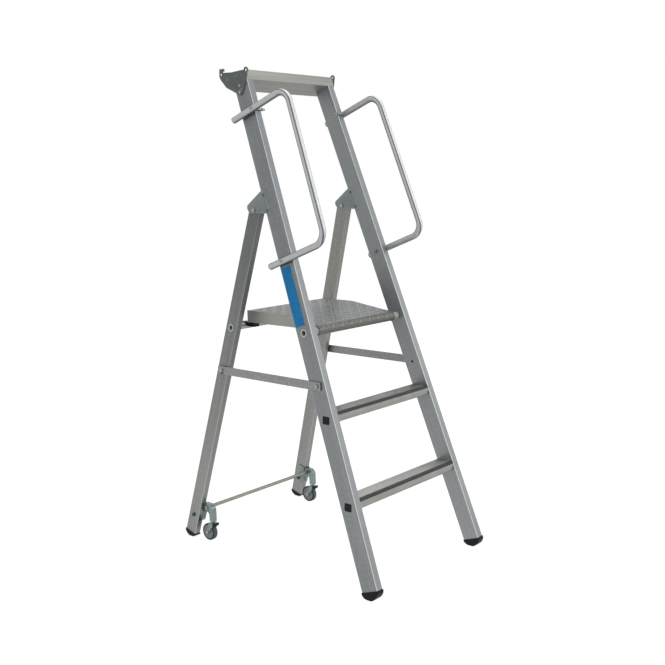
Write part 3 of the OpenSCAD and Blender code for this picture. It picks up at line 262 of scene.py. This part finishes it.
# Treads: mill-finish extrusions with ribs along them, whose box spigots pass through the stiles.
# The die leaves long, fine streaks across the step, drawn 3 mm apart so that they show. The faces to the
# front are painted darker than the tops, as painted shade on the lips.

STREAK_PITCH = 0.003
STREAK_RUN = 0.6
SCUFF_SIZE = 0.05


def tread_finish():
    """Mill-finish aluminium with streaks along X, scuffed in patches, and painted darker to the front as
    shade.
    """
    material = start_material("mill_finish_tread", {"Metallic": 0.85})
    coords = add(material, "TexCoord").outputs
    place = coords["Object"]
    along = add(material, "Mapping", {"Vector": place, "Scale": (STREAK_RUN, STREAK_PITCH, STREAK_PITCH)},
                vector_type="TEXTURE")
    streaks = add(material, "TexNoise", {"Vector": along, "Scale": 1.0, "Detail": 4.0})
    scuffs = add(material, "TexNoise", {"Vector": place, "Scale": 1 / SCUFF_SIZE, "Detail": 5.0})
    both = add(material, "Math", {0: streaks, 1: scuffs}, operation="ADD")
    shade = add(material, "MapRange", {"Value": both, "From Min": 0.7, "From Max": 1.3})
    top = add(material, "Mix", {0: shade, 1: linear("#999a98"), 2: linear("#b3b3b1")}, data_type="RGBA")
    # Painted shade: the lip colours, darker than the top ones, go to the faces to the front.
    shaded_lip = add(material, "Mix", {0: shade, 1: linear("#83847f"), 2: linear("#989893")}, data_type="RGBA")
    facing = add(material, "SeparateXYZ", {0: coords["Normal"]}).outputs["Y"]
    front_shading_share = add(material, "MapRange", {"Value": facing, "From Min": -0.4, "From Max": -0.8})
    colour = add(material, "Mix", {0: front_shading_share, 1: top, 2: shaded_lip}, data_type="RGBA")
    rough = add(material, "MapRange", {"Value": scuffs, "From Min": 0.3, "From Max": 0.7,
                                       "To Min": 0.3, "To Max": 0.46})
    finish(material, colour, rough, streaks, strength=0.1, depth=0.0003)
    return material


tread_aluminium = tread_finish()
for tread in ("lower_tread", "upper_tread"):
    eased(tread, tread_aluminium, edge=0.0004)


# Grip strips: dark rubber, extruded and pulled into a groove along each tread's nose.
# End plugs: black polypropylene, pushed into the open ends of the treads' spigots.

grip_rubber = moulded("extruded_grip_rubber", "#2f3034", "#505155", rough=0.7, grain=0.0015)
eased("tread_grip_strips", grip_rubber, edge=0.0004)
black_plastic = moulded("moulded_black_plastic", "#0b0c11", "#25272e", rough=0.45, grain=0.0015, wear=0.25)
eased("tread_end_plugs", black_plastic, edge=0.0005)


# Tubes: drawn aluminium, polished. One carries the platform, one joins the legs, and two bent ones, bolted
# to the stiles and plugged, are the handrails. Hands leave soft smears of about 60 mm on them. A painted
# highlight lies on two sides of a tube, and a painted dark reflection lies in a line along the middle of
# each.

SMEAR_SIZE = 0.06
DRAWN_GRAIN = 0.004
# The sides that the painted highlight and the painted dark reflection face
HIGHLIGHT_SIDE = (-0.60, -0.73, 0.33)
DARK_REFLECTION_SIDE = (0.634, -0.544, 0.550)

# A rail's middle line, out from the stile's outer face, back from its front edge, and up along it
RAIL_FACE = -0.0103
RAIL_TAIL = 0.085
RAIL_REACH = -0.150
RAIL_LOWER = 1.02503
RAIL_UPPER = 1.492
RAIL_BEND = 0.042
BEND_STEPS = 12
RAIL_RADIUS = 0.010
RAIL_SIDES = 40

# Where that edge meets the floor, aside from the step's middle and in front of it
BASE_HALF = 0.272
MID_DEPTH = 0.432769


def drawn_tube(name, dull, bright, highlight):
    """Polished tube, smeared from dull to bright, with bands of painted highlight and a line of painted
    dark reflection in the dull colour.
    """
    material = start_material(name, {"Metallic": 0.8})
    coords = add(material, "TexCoord").outputs
    place = coords["Object"]
    smears = add(material, "TexNoise", {"Vector": place, "Scale": 1 / SMEAR_SIZE, "Detail": 5.0})
    grain = add(material, "TexNoise", {"Vector": place, "Scale": 1 / DRAWN_GRAIN, "Detail": 3.0})
    shade = add(material, "MapRange", {"Value": smears, "From Min": 0.3, "From Max": 0.7})
    colour = add(material, "Mix", {0: shade, 1: linear(dull), 2: linear(bright)}, data_type="RGBA")
    rough = add(material, "MapRange", {"Value": smears, "From Min": 0.3, "From Max": 0.7,
                                       "To Min": 0.5, "To Max": 0.62})
    finish(material, colour, rough, grain, strength=0.02, depth=0.0002)
    # A painted highlight goes where the normals lie near the first side, and a painted dark reflection in a
    # line where they lie across the second.
    for side, start, end, painted_colour in ((HIGHLIGHT_SIDE, 0.1, 0.55, highlight), (DARK_REFLECTION_SIDE, 0.26, 0.1, dull)):
        facing = add(material, "VectorMath", {0: coords["Normal"], 1: side}, operation="DOT_PRODUCT")
        either_way = add(material, "Math", {0: facing}, operation="ABSOLUTE")
        painted_band = add(material, "MapRange", {"Value": either_way, "From Min": start, "From Max": end},
                   interpolation_type="SMOOTHSTEP")
        cover(material, painted_band, painted_colour)
    return material


def swept(path, radius, sides, across):
    """A round bar along a path. Across is a direction that the path never takes."""
    shape = bmesh.new()
    turns = [math.tau * k / sides for k in range(sides)]
    rings = []
    for i, spot in enumerate(path):
        front_shading_share = path[min(i + 1, len(path) - 1)] - path[max(i - 1, 0)]
        first = across.cross(front_shading_share).normalized()
        second = front_shading_share.normalized().cross(first)
        steps = [radius * (math.cos(a) * first + math.sin(a) * second) for a in turns]
        rings.append([shape.verts.new(spot + step) for step in steps])
    for one, two in zip(rings, rings[1:]):
        for k in range(sides):
            shape.faces.new((one[k - 1], one[k], two[k], two[k - 1]))
    shape.faces.new(rings[0])
    shape.faces.new(rings[-1][::-1])
    bmesh.ops.recalc_face_normals(shape, faces=shape.faces)
    return shape


def rail_path(hand):
    """A handrail's middle line in the step's own frame, mirrored for the right hand."""
    line = [(RAIL_TAIL, RAIL_LOWER)]
    for centre, way, turns in ((RAIL_LOWER + RAIL_BEND, 1, range(BEND_STEPS + 1)),
                               (RAIL_UPPER - RAIL_BEND, -1, range(BEND_STEPS, -1, -1))):
        for k in turns:
            a = math.pi / 2 * k / BEND_STEPS
            back = RAIL_REACH + RAIL_BEND - RAIL_BEND * math.sin(a)
            line.append((back, centre - way * RAIL_BEND * math.cos(a)))
    line.append((RAIL_TAIL, RAIL_UPPER))
    place = (Matrix.Translation((-BASE_HALF, -MID_DEPTH, 0)) @ Matrix.Rotation(SIDE_TAPER, 4, "Y")
             @ Matrix.Rotation(-STILE_LEAN, 4, "X"))
    spots = [place @ Vector((RAIL_FACE, back, along)) for back, along in line]
    return [Vector((-hand * s.x, s.y, s.z)) for s in spots]


tube_aluminium = drawn_tube("polished_drawn_tube", "#8c8f91", "#a6a9ab", "#b4b7b9")
rail_aluminium = drawn_tube("handled_rail_tube", "#5d6062", "#747779", "#b4b6b8")
for node in ("platform_pivot_tube", "rear_cross_tube"):
    eased(node, tube_aluminium)
for side, hand in (("left", -1), ("right", 1)):
    across = Vector((hand * math.cos(SIDE_TAPER), 0, math.sin(SIDE_TAPER)))
    tube = swept(rail_path(hand), RAIL_RADIUS, RAIL_SIDES, across)
    rail = new_piece(f"{side}_handrail_tube", tube, rail_aluminium, "front_frame")
    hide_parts(f"{side}_handrail")
plug_plastic = moulded("moulded_grey_plug", "#5f6468", "#7b8084", rough=0.5, grain=0.0015)
eased("handrail_end_plugs", plug_plastic, edge=0.0012, steps=3)


# Platform: one folded aluminium sheet with a raised tear pattern rolled into it.
# The bars stand 1.5 mm high at 45 degrees, every other one turned. Their bright tops are partly rubbed by
# shoes and partly painted highlight, and the sheet between them is painted darker as shade.
# The sheet is flat, then rolls down to a slope and ends in a round nose about its pivot.

DECK_LOW, DECK_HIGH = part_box("platform_deck")
ROLL_RADIUS = 0.2
ROLL_ANGLE = math.radians(8)
NOSE_RADIUS = 0.01608
NOSE_TURN = math.radians(115)
PLATFORM_RISE = 0.040
PIVOT = Vector((0, DECK_LOW.y + NOSE_RADIUS, DECK_HIGH.z - PLATFORM_RISE))
ROLL_DROP = ROLL_RADIUS * (1 - math.cos(ROLL_ANGLE))
SLOPE_RISE = PLATFORM_RISE - NOSE_RADIUS * math.cos(ROLL_ANGLE) - ROLL_DROP
SLOPE_LONG = SLOPE_RISE / math.sin(ROLL_ANGLE)
SLOPE_BACK = SLOPE_LONG * math.cos(ROLL_ANGLE)
ROLL_START = PIVOT.y + SLOPE_BACK + (ROLL_RADIUS - NOSE_RADIUS) * math.sin(ROLL_ANGLE)
FLAT_LONG = DECK_HIGH.y - ROLL_START
ROLL_LONG = ROLL_RADIUS * ROLL_ANGLE
NOSE_LONG = NOSE_RADIUS * NOSE_TURN
BAR_PITCH = 0.0215
BAR_LENGTH = 0.0185
BAR_WIDTH = 0.0062
BAR_RISE = 0.0015
BAR_SINK = 0.0006
BAR_MARGIN = 0.006
BAR_TURN = math.radians(45)
BAR_POINTS = 12
BAR_SHARPNESS = 0.3

# A bar's outline as a share of its full one, and its height there above the sheet
BAR_LEVELS = ((1.0, -BAR_SINK), (1.0, 0.0), (0.86, BAR_RISE * 0.7), (0.62, BAR_RISE))
BAR_SHARP_TURN = math.radians(50)
DIRT_PATCH = 0.06

# Scratches are really under 0.5 mm wide. They are drawn at 2 mm so that they show, and they lie askew
SCRATCH_WIDTH = 0.002
SCRATCH_RUN = 0.05
SCRATCH_TURN = 0.7


def on_deck(x, along, rise):
    """A point above the deck, along it from its rear edge: on the flat, the roll, the slope or the nose."""
    angle = min(max(along - FLAT_LONG, 0), ROLL_LONG) / ROLL_RADIUS
    if along <= FLAT_LONG + ROLL_LONG:
        spot = Vector((x, ROLL_START, DECK_HIGH.z - ROLL_RADIUS))
        spot.y += max(FLAT_LONG - along, 0)
        radius = ROLL_RADIUS + rise
    else:
        past = FLAT_LONG + ROLL_LONG + SLOPE_LONG - along
        angle += max(-past, 0) / NOSE_RADIUS
        spot = Vector((x, PIVOT.y, PIVOT.z))
        spot += max(past, 0) * Vector((0, math.cos(ROLL_ANGLE), math.sin(ROLL_ANGLE)))
        radius = NOSE_RADIUS + rise
    return spot + radius * Vector((0, -math.sin(angle), math.cos(angle)))


def raised_bar(shape, x, along, turn):
    """One raised bar: a pointed oval, closed below the sheet.

    Towards its flat top it narrows, and it loses half as large a share of its length.
    """
    rings = []
    for share, rise in BAR_LEVELS:
        ring = []
        for k in range(BAR_POINTS):
            a = math.tau * k / BAR_POINTS
            u = BAR_LENGTH / 2 * math.cos(a) * (0.5 + 0.5 * share)
            v = BAR_WIDTH / 2 * math.sin(a) * abs(math.sin(a)) ** BAR_SHARPNESS * share
            spot = on_deck(x + u * math.cos(turn) - v * math.sin(turn),
                           along + u * math.sin(turn) + v * math.cos(turn), rise)
            ring.append(shape.verts.new(spot))
        rings.append(ring)
    for low, high in zip(rings, rings[1:]):
        for k in range(BAR_POINTS):
            shape.faces.new((low[k], low[k - 1], high[k - 1], high[k]))
    shape.faces.new(rings[-1][::-1])
    shape.faces.new(rings[0])


def deck_finish(name, dull, bright, wall_shading, nose_shade):
    """Rolled aluminium sheet, dulled in patches and scratched, with painted shade on its nose and painted
    shading on its side walls.
    """
    material = start_material(name, {"Metallic": 0.6})
    coords = add(material, "TexCoord").outputs
    place = coords["Object"]
    patches = add(material, "TexNoise", {"Vector": place, "Scale": 1 / DIRT_PATCH, "Detail": 5.0})
    along = add(material, "Mapping", {"Vector": place, "Rotation": (0, 0, SCRATCH_TURN),
                                      "Scale": (SCRATCH_RUN, SCRATCH_WIDTH, SCRATCH_RUN)},
                vector_type="TEXTURE")
    scratches = add(material, "TexNoise", {"Vector": along, "Scale": 1.0, "Detail": 3.0})
    both = add(material, "Math", {0: patches, 1: scratches}, operation="ADD")
    shade = add(material, "MapRange", {"Value": both, "From Min": 0.7, "From Max": 1.3})
    colour = add(material, "Mix", {0: shade, 1: linear(dull), 2: linear(bright)}, data_type="RGBA")
    rough = add(material, "MapRange", {"Value": patches, "From Min": 0.3, "From Max": 0.7,
                                       "To Min": 0.34, "To Max": 0.5})
    finish(material, colour, rough, scratches, strength=0.1, depth=0.0003)
    facing = add(material, "SeparateXYZ", {0: coords["Normal"]}).outputs
    # Painted shade: faces to the front, on the nose, take the darker nose colour.
    front_shading_share = add(material, "MapRange", {"Value": facing["Y"], "From Min": -0.2, "From Max": -0.7})
    cover(material, front_shading_share, nose_shade)
    # Painted shading: the side walls take a colour of their own, for how the light falls on them.
    sideways = add(material, "Math", {0: facing["X"]}, operation="ABSOLUTE")
    wall_shading_share = add(material, "MapRange", {"Value": sideways, "From Min": 0.7, "From Max": 0.95})
    cover(material, wall_shading_share, wall_shading)
    return material


# Painted shading: the sheet is darker than the bars, as shade between them, and the bars are brighter,
# partly as painted highlight.
deck_aluminium = deck_finish("rolled_deck_sheet", "#67696b", "#7f8183", wall_shading="#93938d", nose_shade="#5f5f5a")
bar_aluminium = deck_finish("rubbed_highlit_tear_bars", "#929496", "#abadae", wall_shading="#8b8d8e", nose_shade="#72726c")
eased("platform_deck", deck_aluminium, edge=0.0006)
bars = bmesh.new()
deck_run = FLAT_LONG + ROLL_LONG + SLOPE_LONG + NOSE_LONG
across_count = int((2 * DECK_HIGH.x - 2 * BAR_MARGIN) / BAR_PITCH)
along_count = int((deck_run - BAR_MARGIN) / BAR_PITCH)
for i in range(across_count):
    for j in range(along_count):
        turn = BAR_TURN if (i + j) % 2 else -BAR_TURN
        raised_bar(bars, (i - (across_count - 1) / 2) * BAR_PITCH, BAR_MARGIN + (j + 0.5) * BAR_PITCH, turn)
bmesh.ops.recalc_face_normals(bars, faces=bars.faces)
new_piece("deck_tear_bars", bars, bar_aluminium, "platform", BAR_SHARP_TURN)


# Bushes: grey nylon, turned. The platform and the rear legs swing on them.
# Hooks: black nylon under the platform, which drop over the tube between the legs.

bush_nylon = moulded("turned_grey_nylon", "#929493", "#7f8180", rough=0.5, grain=0.002)
eased("platform_bushes", bush_nylon, edge=0.0006)
eased("leg_pivot_bushes", bush_nylon, edge=0.0004)
eased("platform_hooks", black_plastic, edge=0.001)


# Tool tray: one sheet folded to a wall, a floor and a sloping back, and painted a warm grey.
# The paint shows faint streaks along the sheet's rolling direction, and has a skin of fine grain.

ROLLING_PITCH = 0.006
ROLLING_RUN = 0.5
PAINT_GRAIN = 0.0015


def tray_finish():
    """Grey paint over rolled sheet, satin, with streaks along X."""
    material = start_material("painted_tray_sheet", {"Metallic": 0.45})
    place = add(material, "TexCoord").outputs["Object"]
    along = add(material, "Mapping", {"Vector": place,
                                      "Scale": (ROLLING_RUN, ROLLING_PITCH, ROLLING_PITCH)},
                vector_type="TEXTURE")
    streaks = add(material, "TexNoise", {"Vector": along, "Scale": 1.0, "Detail": 4.0})
    skin = add(material, "TexNoise", {"Vector": place, "Scale": 1 / PAINT_GRAIN, "Detail": 2.0})
    shade = add(material, "MapRange", {"Value": streaks, "From Min": 0.35, "From Max": 0.65})
    colour = add(material, "Mix", {0: shade, 1: linear("#73746f"), 2: linear("#898a84")}, data_type="RGBA")
    rough = add(material, "MapRange", {"Value": streaks, "From Min": 0.3, "From Max": 0.7,
                                       "To Min": 0.38, "To Max": 0.5})
    finish(material, colour, rough, skin, strength=0.05, depth=0.0002)
    return material


eased("tool_tray", tray_finish(), edge=0.0007)


# Tray ends: dark glass-filled plates with two horns, held by two screws each.
# Their edges are paler than the field, where hands and tools have rubbed them.

end_plastic = moulded("glass_filled_end_plate", "#4d5250", "#858b88", rough=0.5, grain=0.0015, wear=0.8)
for side in SIDES:
    eased(f"{side}_tray_end", end_plastic, edge=0.0007, steps=3)


# Fixings: zinc-plated screws, bolts, nuts, rivets and pins, rolled and headed cold. Their heads are domed.
# Most are bright. The brackets' rivets are plated dull, and the castors' bolts are blackened.
# The crystals in the plating are well under a millimetre, and are drawn at 2 mm or more so that they show.


def zinc_plate(name, dark, light, crystal, glossy, matt):
    """Zinc-plated steel: soft crystals from dark to light, rubbed light on its edges."""
    material = start_material(name, {"Metallic": 0.9})
    place = add(material, "TexCoord").outputs["Object"]
    warp = add(material, "TexNoise", {"Vector": place, "Scale": 1 / crystal, "Detail": 3.0})
    cells = add(material, "TexVoronoi", {"Vector": place, "Scale": 1 / crystal})
    both = add(material, "Math", {0: warp, 1: cells}, operation="ADD")
    shade = add(material, "MapRange", {"Value": both, "From Min": 0.6, "From Max": 1.4})
    sharp = add(material, "NewGeometry").outputs["Pointiness"]
    worn = add(material, "MapRange", {"Value": sharp, "From Min": 0.51, "From Max": 0.6})
    most = add(material, "Math", {0: shade, 1: worn}, operation="MAXIMUM")
    colour = add(material, "Mix", {0: most, 1: linear(dark), 2: linear(light)}, data_type="RGBA")
    rough = add(material, "MapRange", {"Value": warp, "From Min": 0.3, "From Max": 0.7,
                                       "To Min": glossy, "To Max": matt})
    finish(material, colour, rough, warp, strength=0.08, depth=0.0003)
    return material


bright_zinc = zinc_plate("bright_zinc_fixings", "#7f8284", "#a3a6a8", crystal=0.003, glossy=0.24, matt=0.4)
grey_fixings = zinc_plate("dull_zinc_fixings", "#56595b", "#707476", crystal=0.003, glossy=0.32, matt=0.48)
dark_steel = zinc_plate("blackened_fixings", "#35383a", "#54585a", crystal=0.003, glossy=0.3, matt=0.45)
for node, edge in (("tray_end_screws", 0.0008), ("leg_pivot_bolts", 0.001), ("stay_pivots", 0.001),
                   ("stay_studs", 0.001), ("handrail_bolts", 0.0008), ("handrail_nuts", 0.0008)):
    eased(node, bright_zinc, edge, steps=3)
eased("hinge_bracket_rivets", grey_fixings, edge=0.0008, steps=3)
eased("castor_bracket_bolts", dark_steel, edge=0.001, steps=3)


# Hinge brackets: steel sheet, sheared, folded and zinc-plated dull, with painted light on their faces to
# the front.
# Stays: flat steel bars with a greyer plating, pinned to the stiles and hooked over studs on the legs.

dull_zinc = zinc_plate("dull_zinc_sheet", "#616768", "#7b8182", crystal=0.007, glossy=0.34, matt=0.5)
# Painted light: the faces to the front are laid over with a pale colour.
bracket_normal = add(dull_zinc, "TexCoord").outputs["Normal"]
to_the_front = add(dull_zinc, "SeparateXYZ", {0: bracket_normal}).outputs["Y"]
painted_front_light = add(dull_zinc, "MapRange", {"Value": to_the_front, "From Min": -0.5, "From Max": -0.8})
cover(dull_zinc, painted_front_light, "#d4d8d8")
grey_zinc = zinc_plate("grey_zinc_bar", "#7b7c7c", "#939494", crystal=0.007, glossy=0.34, matt=0.5)
for side in SIDES:
    eased(f"{side}_hinge_bracket", dull_zinc)
    eased(f"{side}_stay", grey_zinc, edge=0.0005)


# Label: a plain blue vinyl film, stuck on the left stile above the platform's pivot.
# It is slightly glossy, and rubbed a little paler in patches.

VINYL_PATCH = 0.025


def vinyl_film():
    """Calendered blue film with soft waves, smooth but for rubbed patches."""
    material = start_material("blue_vinyl_film", {"Specular IOR Level": 0.25})
    place = add(material, "TexCoord").outputs["Object"]
    patches = add(material, "TexNoise", {"Vector": place, "Scale": 1 / VINYL_PATCH, "Detail": 5.0})
    shade = add(material, "MapRange", {"Value": patches, "From Min": 0.35, "From Max": 0.75})
    colour = add(material, "Mix", {0: shade, 1: linear("#00689f"), 2: linear("#0a78b0")}, data_type="RGBA")
    rough = add(material, "MapRange", {"Value": patches, "From Min": 0.3, "From Max": 0.7,
                                       "To Min": 0.45, "To Max": 0.6})
    finish(material, colour, rough, patches, strength=0.05, depth=0.0003)
    return material


label_materials = frame["nodes"]["stile_label"].data.materials
label_materials.clear()
label_materials.append(vinyl_film())


# Castors: pressed arches on the legs, zinc-plated and joined by a rod. A spring inside each arch presses
# down a stem, which carries a swivel fork with a black guard, an axle and a wheel.
# The wheel is a moulded core with a grey rubber tyre, whose tread is worn paler than its sides.

SPRING_TURNS = 5
SPRING_RINGS = 24
WIRE_SIDES = 10
WIRE_RADIUS = 0.0008


def coil_path(low, high, radius, middle):
    """The middle of a wire wound about a vertical axis."""
    steps = SPRING_TURNS * SPRING_RINGS
    line = []
    for i in range(steps + 1):
        turn = math.tau * i / SPRING_RINGS
        line.append(Vector((middle.x + radius * math.cos(turn), middle.y + radius * math.sin(turn),
                            low + (high - low) * i / steps)))
    return line


def tyre_finish():
    """Grey rubber, dark on its sides, with a paler worn tread."""
    material = moulded("grey_tyre_rubber", "#24282b", "#3d4347", rough=0.6, grain=0.0012)
    normal = add(material, "TexCoord").outputs["Normal"]
    outward = add(material, "Math", {0: add(material, "SeparateXYZ", {0: normal})}, operation="ABSOLUTE")
    tread = add(material, "MapRange", {"Value": outward, "From Min": 0.45, "From Max": 0.25})
    cover(material, tread, "#50565b")
    return material


spring_steel = zinc_plate("oiled_spring_wire", "#5e6265", "#777b7e", crystal=0.002, glossy=0.25, matt=0.38)
wheel_plastic = moulded("moulded_wheel_core", "#7d8285", "#989da0", rough=0.48, grain=0.0015)
tyre_rubber = tyre_finish()
castor_zinc = zinc_plate("pressed_castor_zinc", "#46504f", "#7f8b8a", crystal=0.006, glossy=0.2, matt=0.36)
rod_steel = zinc_plate("warm_zinc_rod", "#848279", "#939188", crystal=0.002, glossy=0.28, matt=0.42)
eased("castor_rod", rod_steel, edge=0.0005)
for side in SIDES:
    eased(f"{side}_castor_bracket", castor_zinc)
    spring_node = f"{side}_castor_spring"
    low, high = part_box(spring_node)
    middle = (low + high) / 2
    coil_radius = (high.x - low.x) / 2 - WIRE_RADIUS
    line = coil_path(low.z + WIRE_RADIUS, high.z - WIRE_RADIUS, coil_radius, middle)
    wire = swept(line, WIRE_RADIUS, WIRE_SIDES, Vector((0, 0, 1)))
    spring = new_piece(f"{side}_castor_coil", wire, spring_steel, BODY_OF[spring_node])
    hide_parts(spring_node)
    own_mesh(spring)
    eased(f"{side}_castor_stem", bright_zinc, edge=0.0006)
    eased(f"{side}_castor_fork", castor_zinc)
    eased(f"{side}_castor_guard", black_plastic, edge=0.0008)
    eased(f"{side}_castor_axle", bright_zinc, edge=0.0008)
    eased(f"{side}_wheel_core", wheel_plastic, edge=0.0006)
    eased(f"{side}_wheel_tyre", tyre_rubber, edge=0.0004)


# Stage: a white floor and a white sky, with soft lamps in front, above and to the left.
# The camera and gloss see the floor and the sky as white, and the sky gives less light than it shows.
# The floor keeps the step's own faint shadow.

FLOOR_SIZE = 30.0
FLOOR_GLOW = 0.93
SKY_LIGHT = 0.7


def seen(material):
    """1 for what the camera sees, also in gloss and through glass, and 0 for light on its way."""
    path = add(material, "LightPath").outputs
    first = add(material, "Math", {0: path["Is Camera Ray"], 1: path["Is Glossy Ray"]}, operation="MAXIMUM")
    return add(material, "Math", {0: first, 1: path["Is Transmission Ray"]}, operation="MAXIMUM")


def soft_lamp(name, place, aim, size, watts):
    """A square lamp that is turned to a point."""
    lamp = bpy.data.lights.new(name, "AREA")
    lamp.size = size
    lamp.energy = watts
    holder = bpy.data.objects.new(name, lamp)
    holder.location = place
    holder.rotation_euler = (Vector(aim) - Vector(place)).to_track_quat("-Z", "Y").to_euler()
    bpy.context.scene.collection.objects.link(holder)


half = FLOOR_SIZE / 2
floor_corners = [(-half, -half, 0), (half, -half, 0), (half, half, 0), (-half, half, 0)]
floor_mesh = bpy.data.meshes.new("floor")
floor_mesh.from_pydata(floor_corners, [], [(0, 1, 2, 3)])
floor = bpy.data.objects.new("floor", floor_mesh)
bpy.context.scene.collection.objects.link(floor)

white = start_material("white_floor", {"Roughness": 0.9, "Base Color": linear("#e6e6e6")})
glow = add(white, "Emission", {"Color": linear("#ffffff"), "Strength": FLOOR_GLOW})
faint = add(white, "BsdfDiffuse", {"Color": linear("#6a6a6a")})
shown = add(white, "AddShader", {0: glow, 1: faint})
either = add(white, "MixShader", {0: seen(white), 1: white.node_tree.nodes["Principled BSDF"], 2: shown})
white.node_tree.links.new(output(either), white.node_tree.nodes["Material Output"].inputs["Surface"])
floor_mesh.materials.append(white)

world = bpy.data.worlds.new("studio")
bpy.context.scene.world = world
world.use_nodes = True
sky = world.node_tree.nodes["Background"]
sky.inputs["Color"].default_value = linear("#ffffff")
level = add(world, "MapRange", {"Value": seen(world), "To Min": SKY_LIGHT, "To Max": 1.0})
world.node_tree.links.new(output(level), sky.inputs["Strength"])

soft_lamp("front_lamp", place=(1.6, -3.4, 2.4), aim=(0, 0, 0.8), size=2.4, watts=70)
soft_lamp("top_lamp", place=(0.3, -0.4, 4.2), aim=(0, 0, 0.5), size=3.0, watts=60)
soft_lamp("side_lamp", place=(-3.4, -1.9, 2.6), aim=(0, 0, 0.9), size=0.7, watts=14)

bpy.context.scene.view_settings.view_transform = "Standard"


# Camera: it stands in front and to the left of the step, higher than the platform.
# It looks slightly down, with the whole step in its frame. Lens and sensor are in millimetres.

CAMERA_PLACE = (-2.20059, -2.01223, 1.18158)
CAMERA_YAW = math.radians(-48.0055)
CAMERA_PITCH = math.radians(9.1647)
CAMERA_ROLL = math.radians(-1.4116)
CAMERA_LENS = 50.870
CAMERA_SENSOR = 36.0

camera_data = bpy.data.cameras.new("camera")
camera_data.lens = CAMERA_LENS
camera_data.sensor_width = CAMERA_SENSOR
camera = bpy.data.objects.new("camera", camera_data)
camera_tilt = Matrix.Rotation(math.pi / 2 - CAMERA_PITCH, 4, "X") @ Matrix.Rotation(CAMERA_ROLL, 4, "Z")
camera.matrix_world = Matrix.Translation(CAMERA_PLACE) @ Matrix.Rotation(CAMERA_YAW, 4, "Z") @ camera_tilt
bpy.context.scene.collection.objects.link(camera)
bpy.context.scene.camera = camera
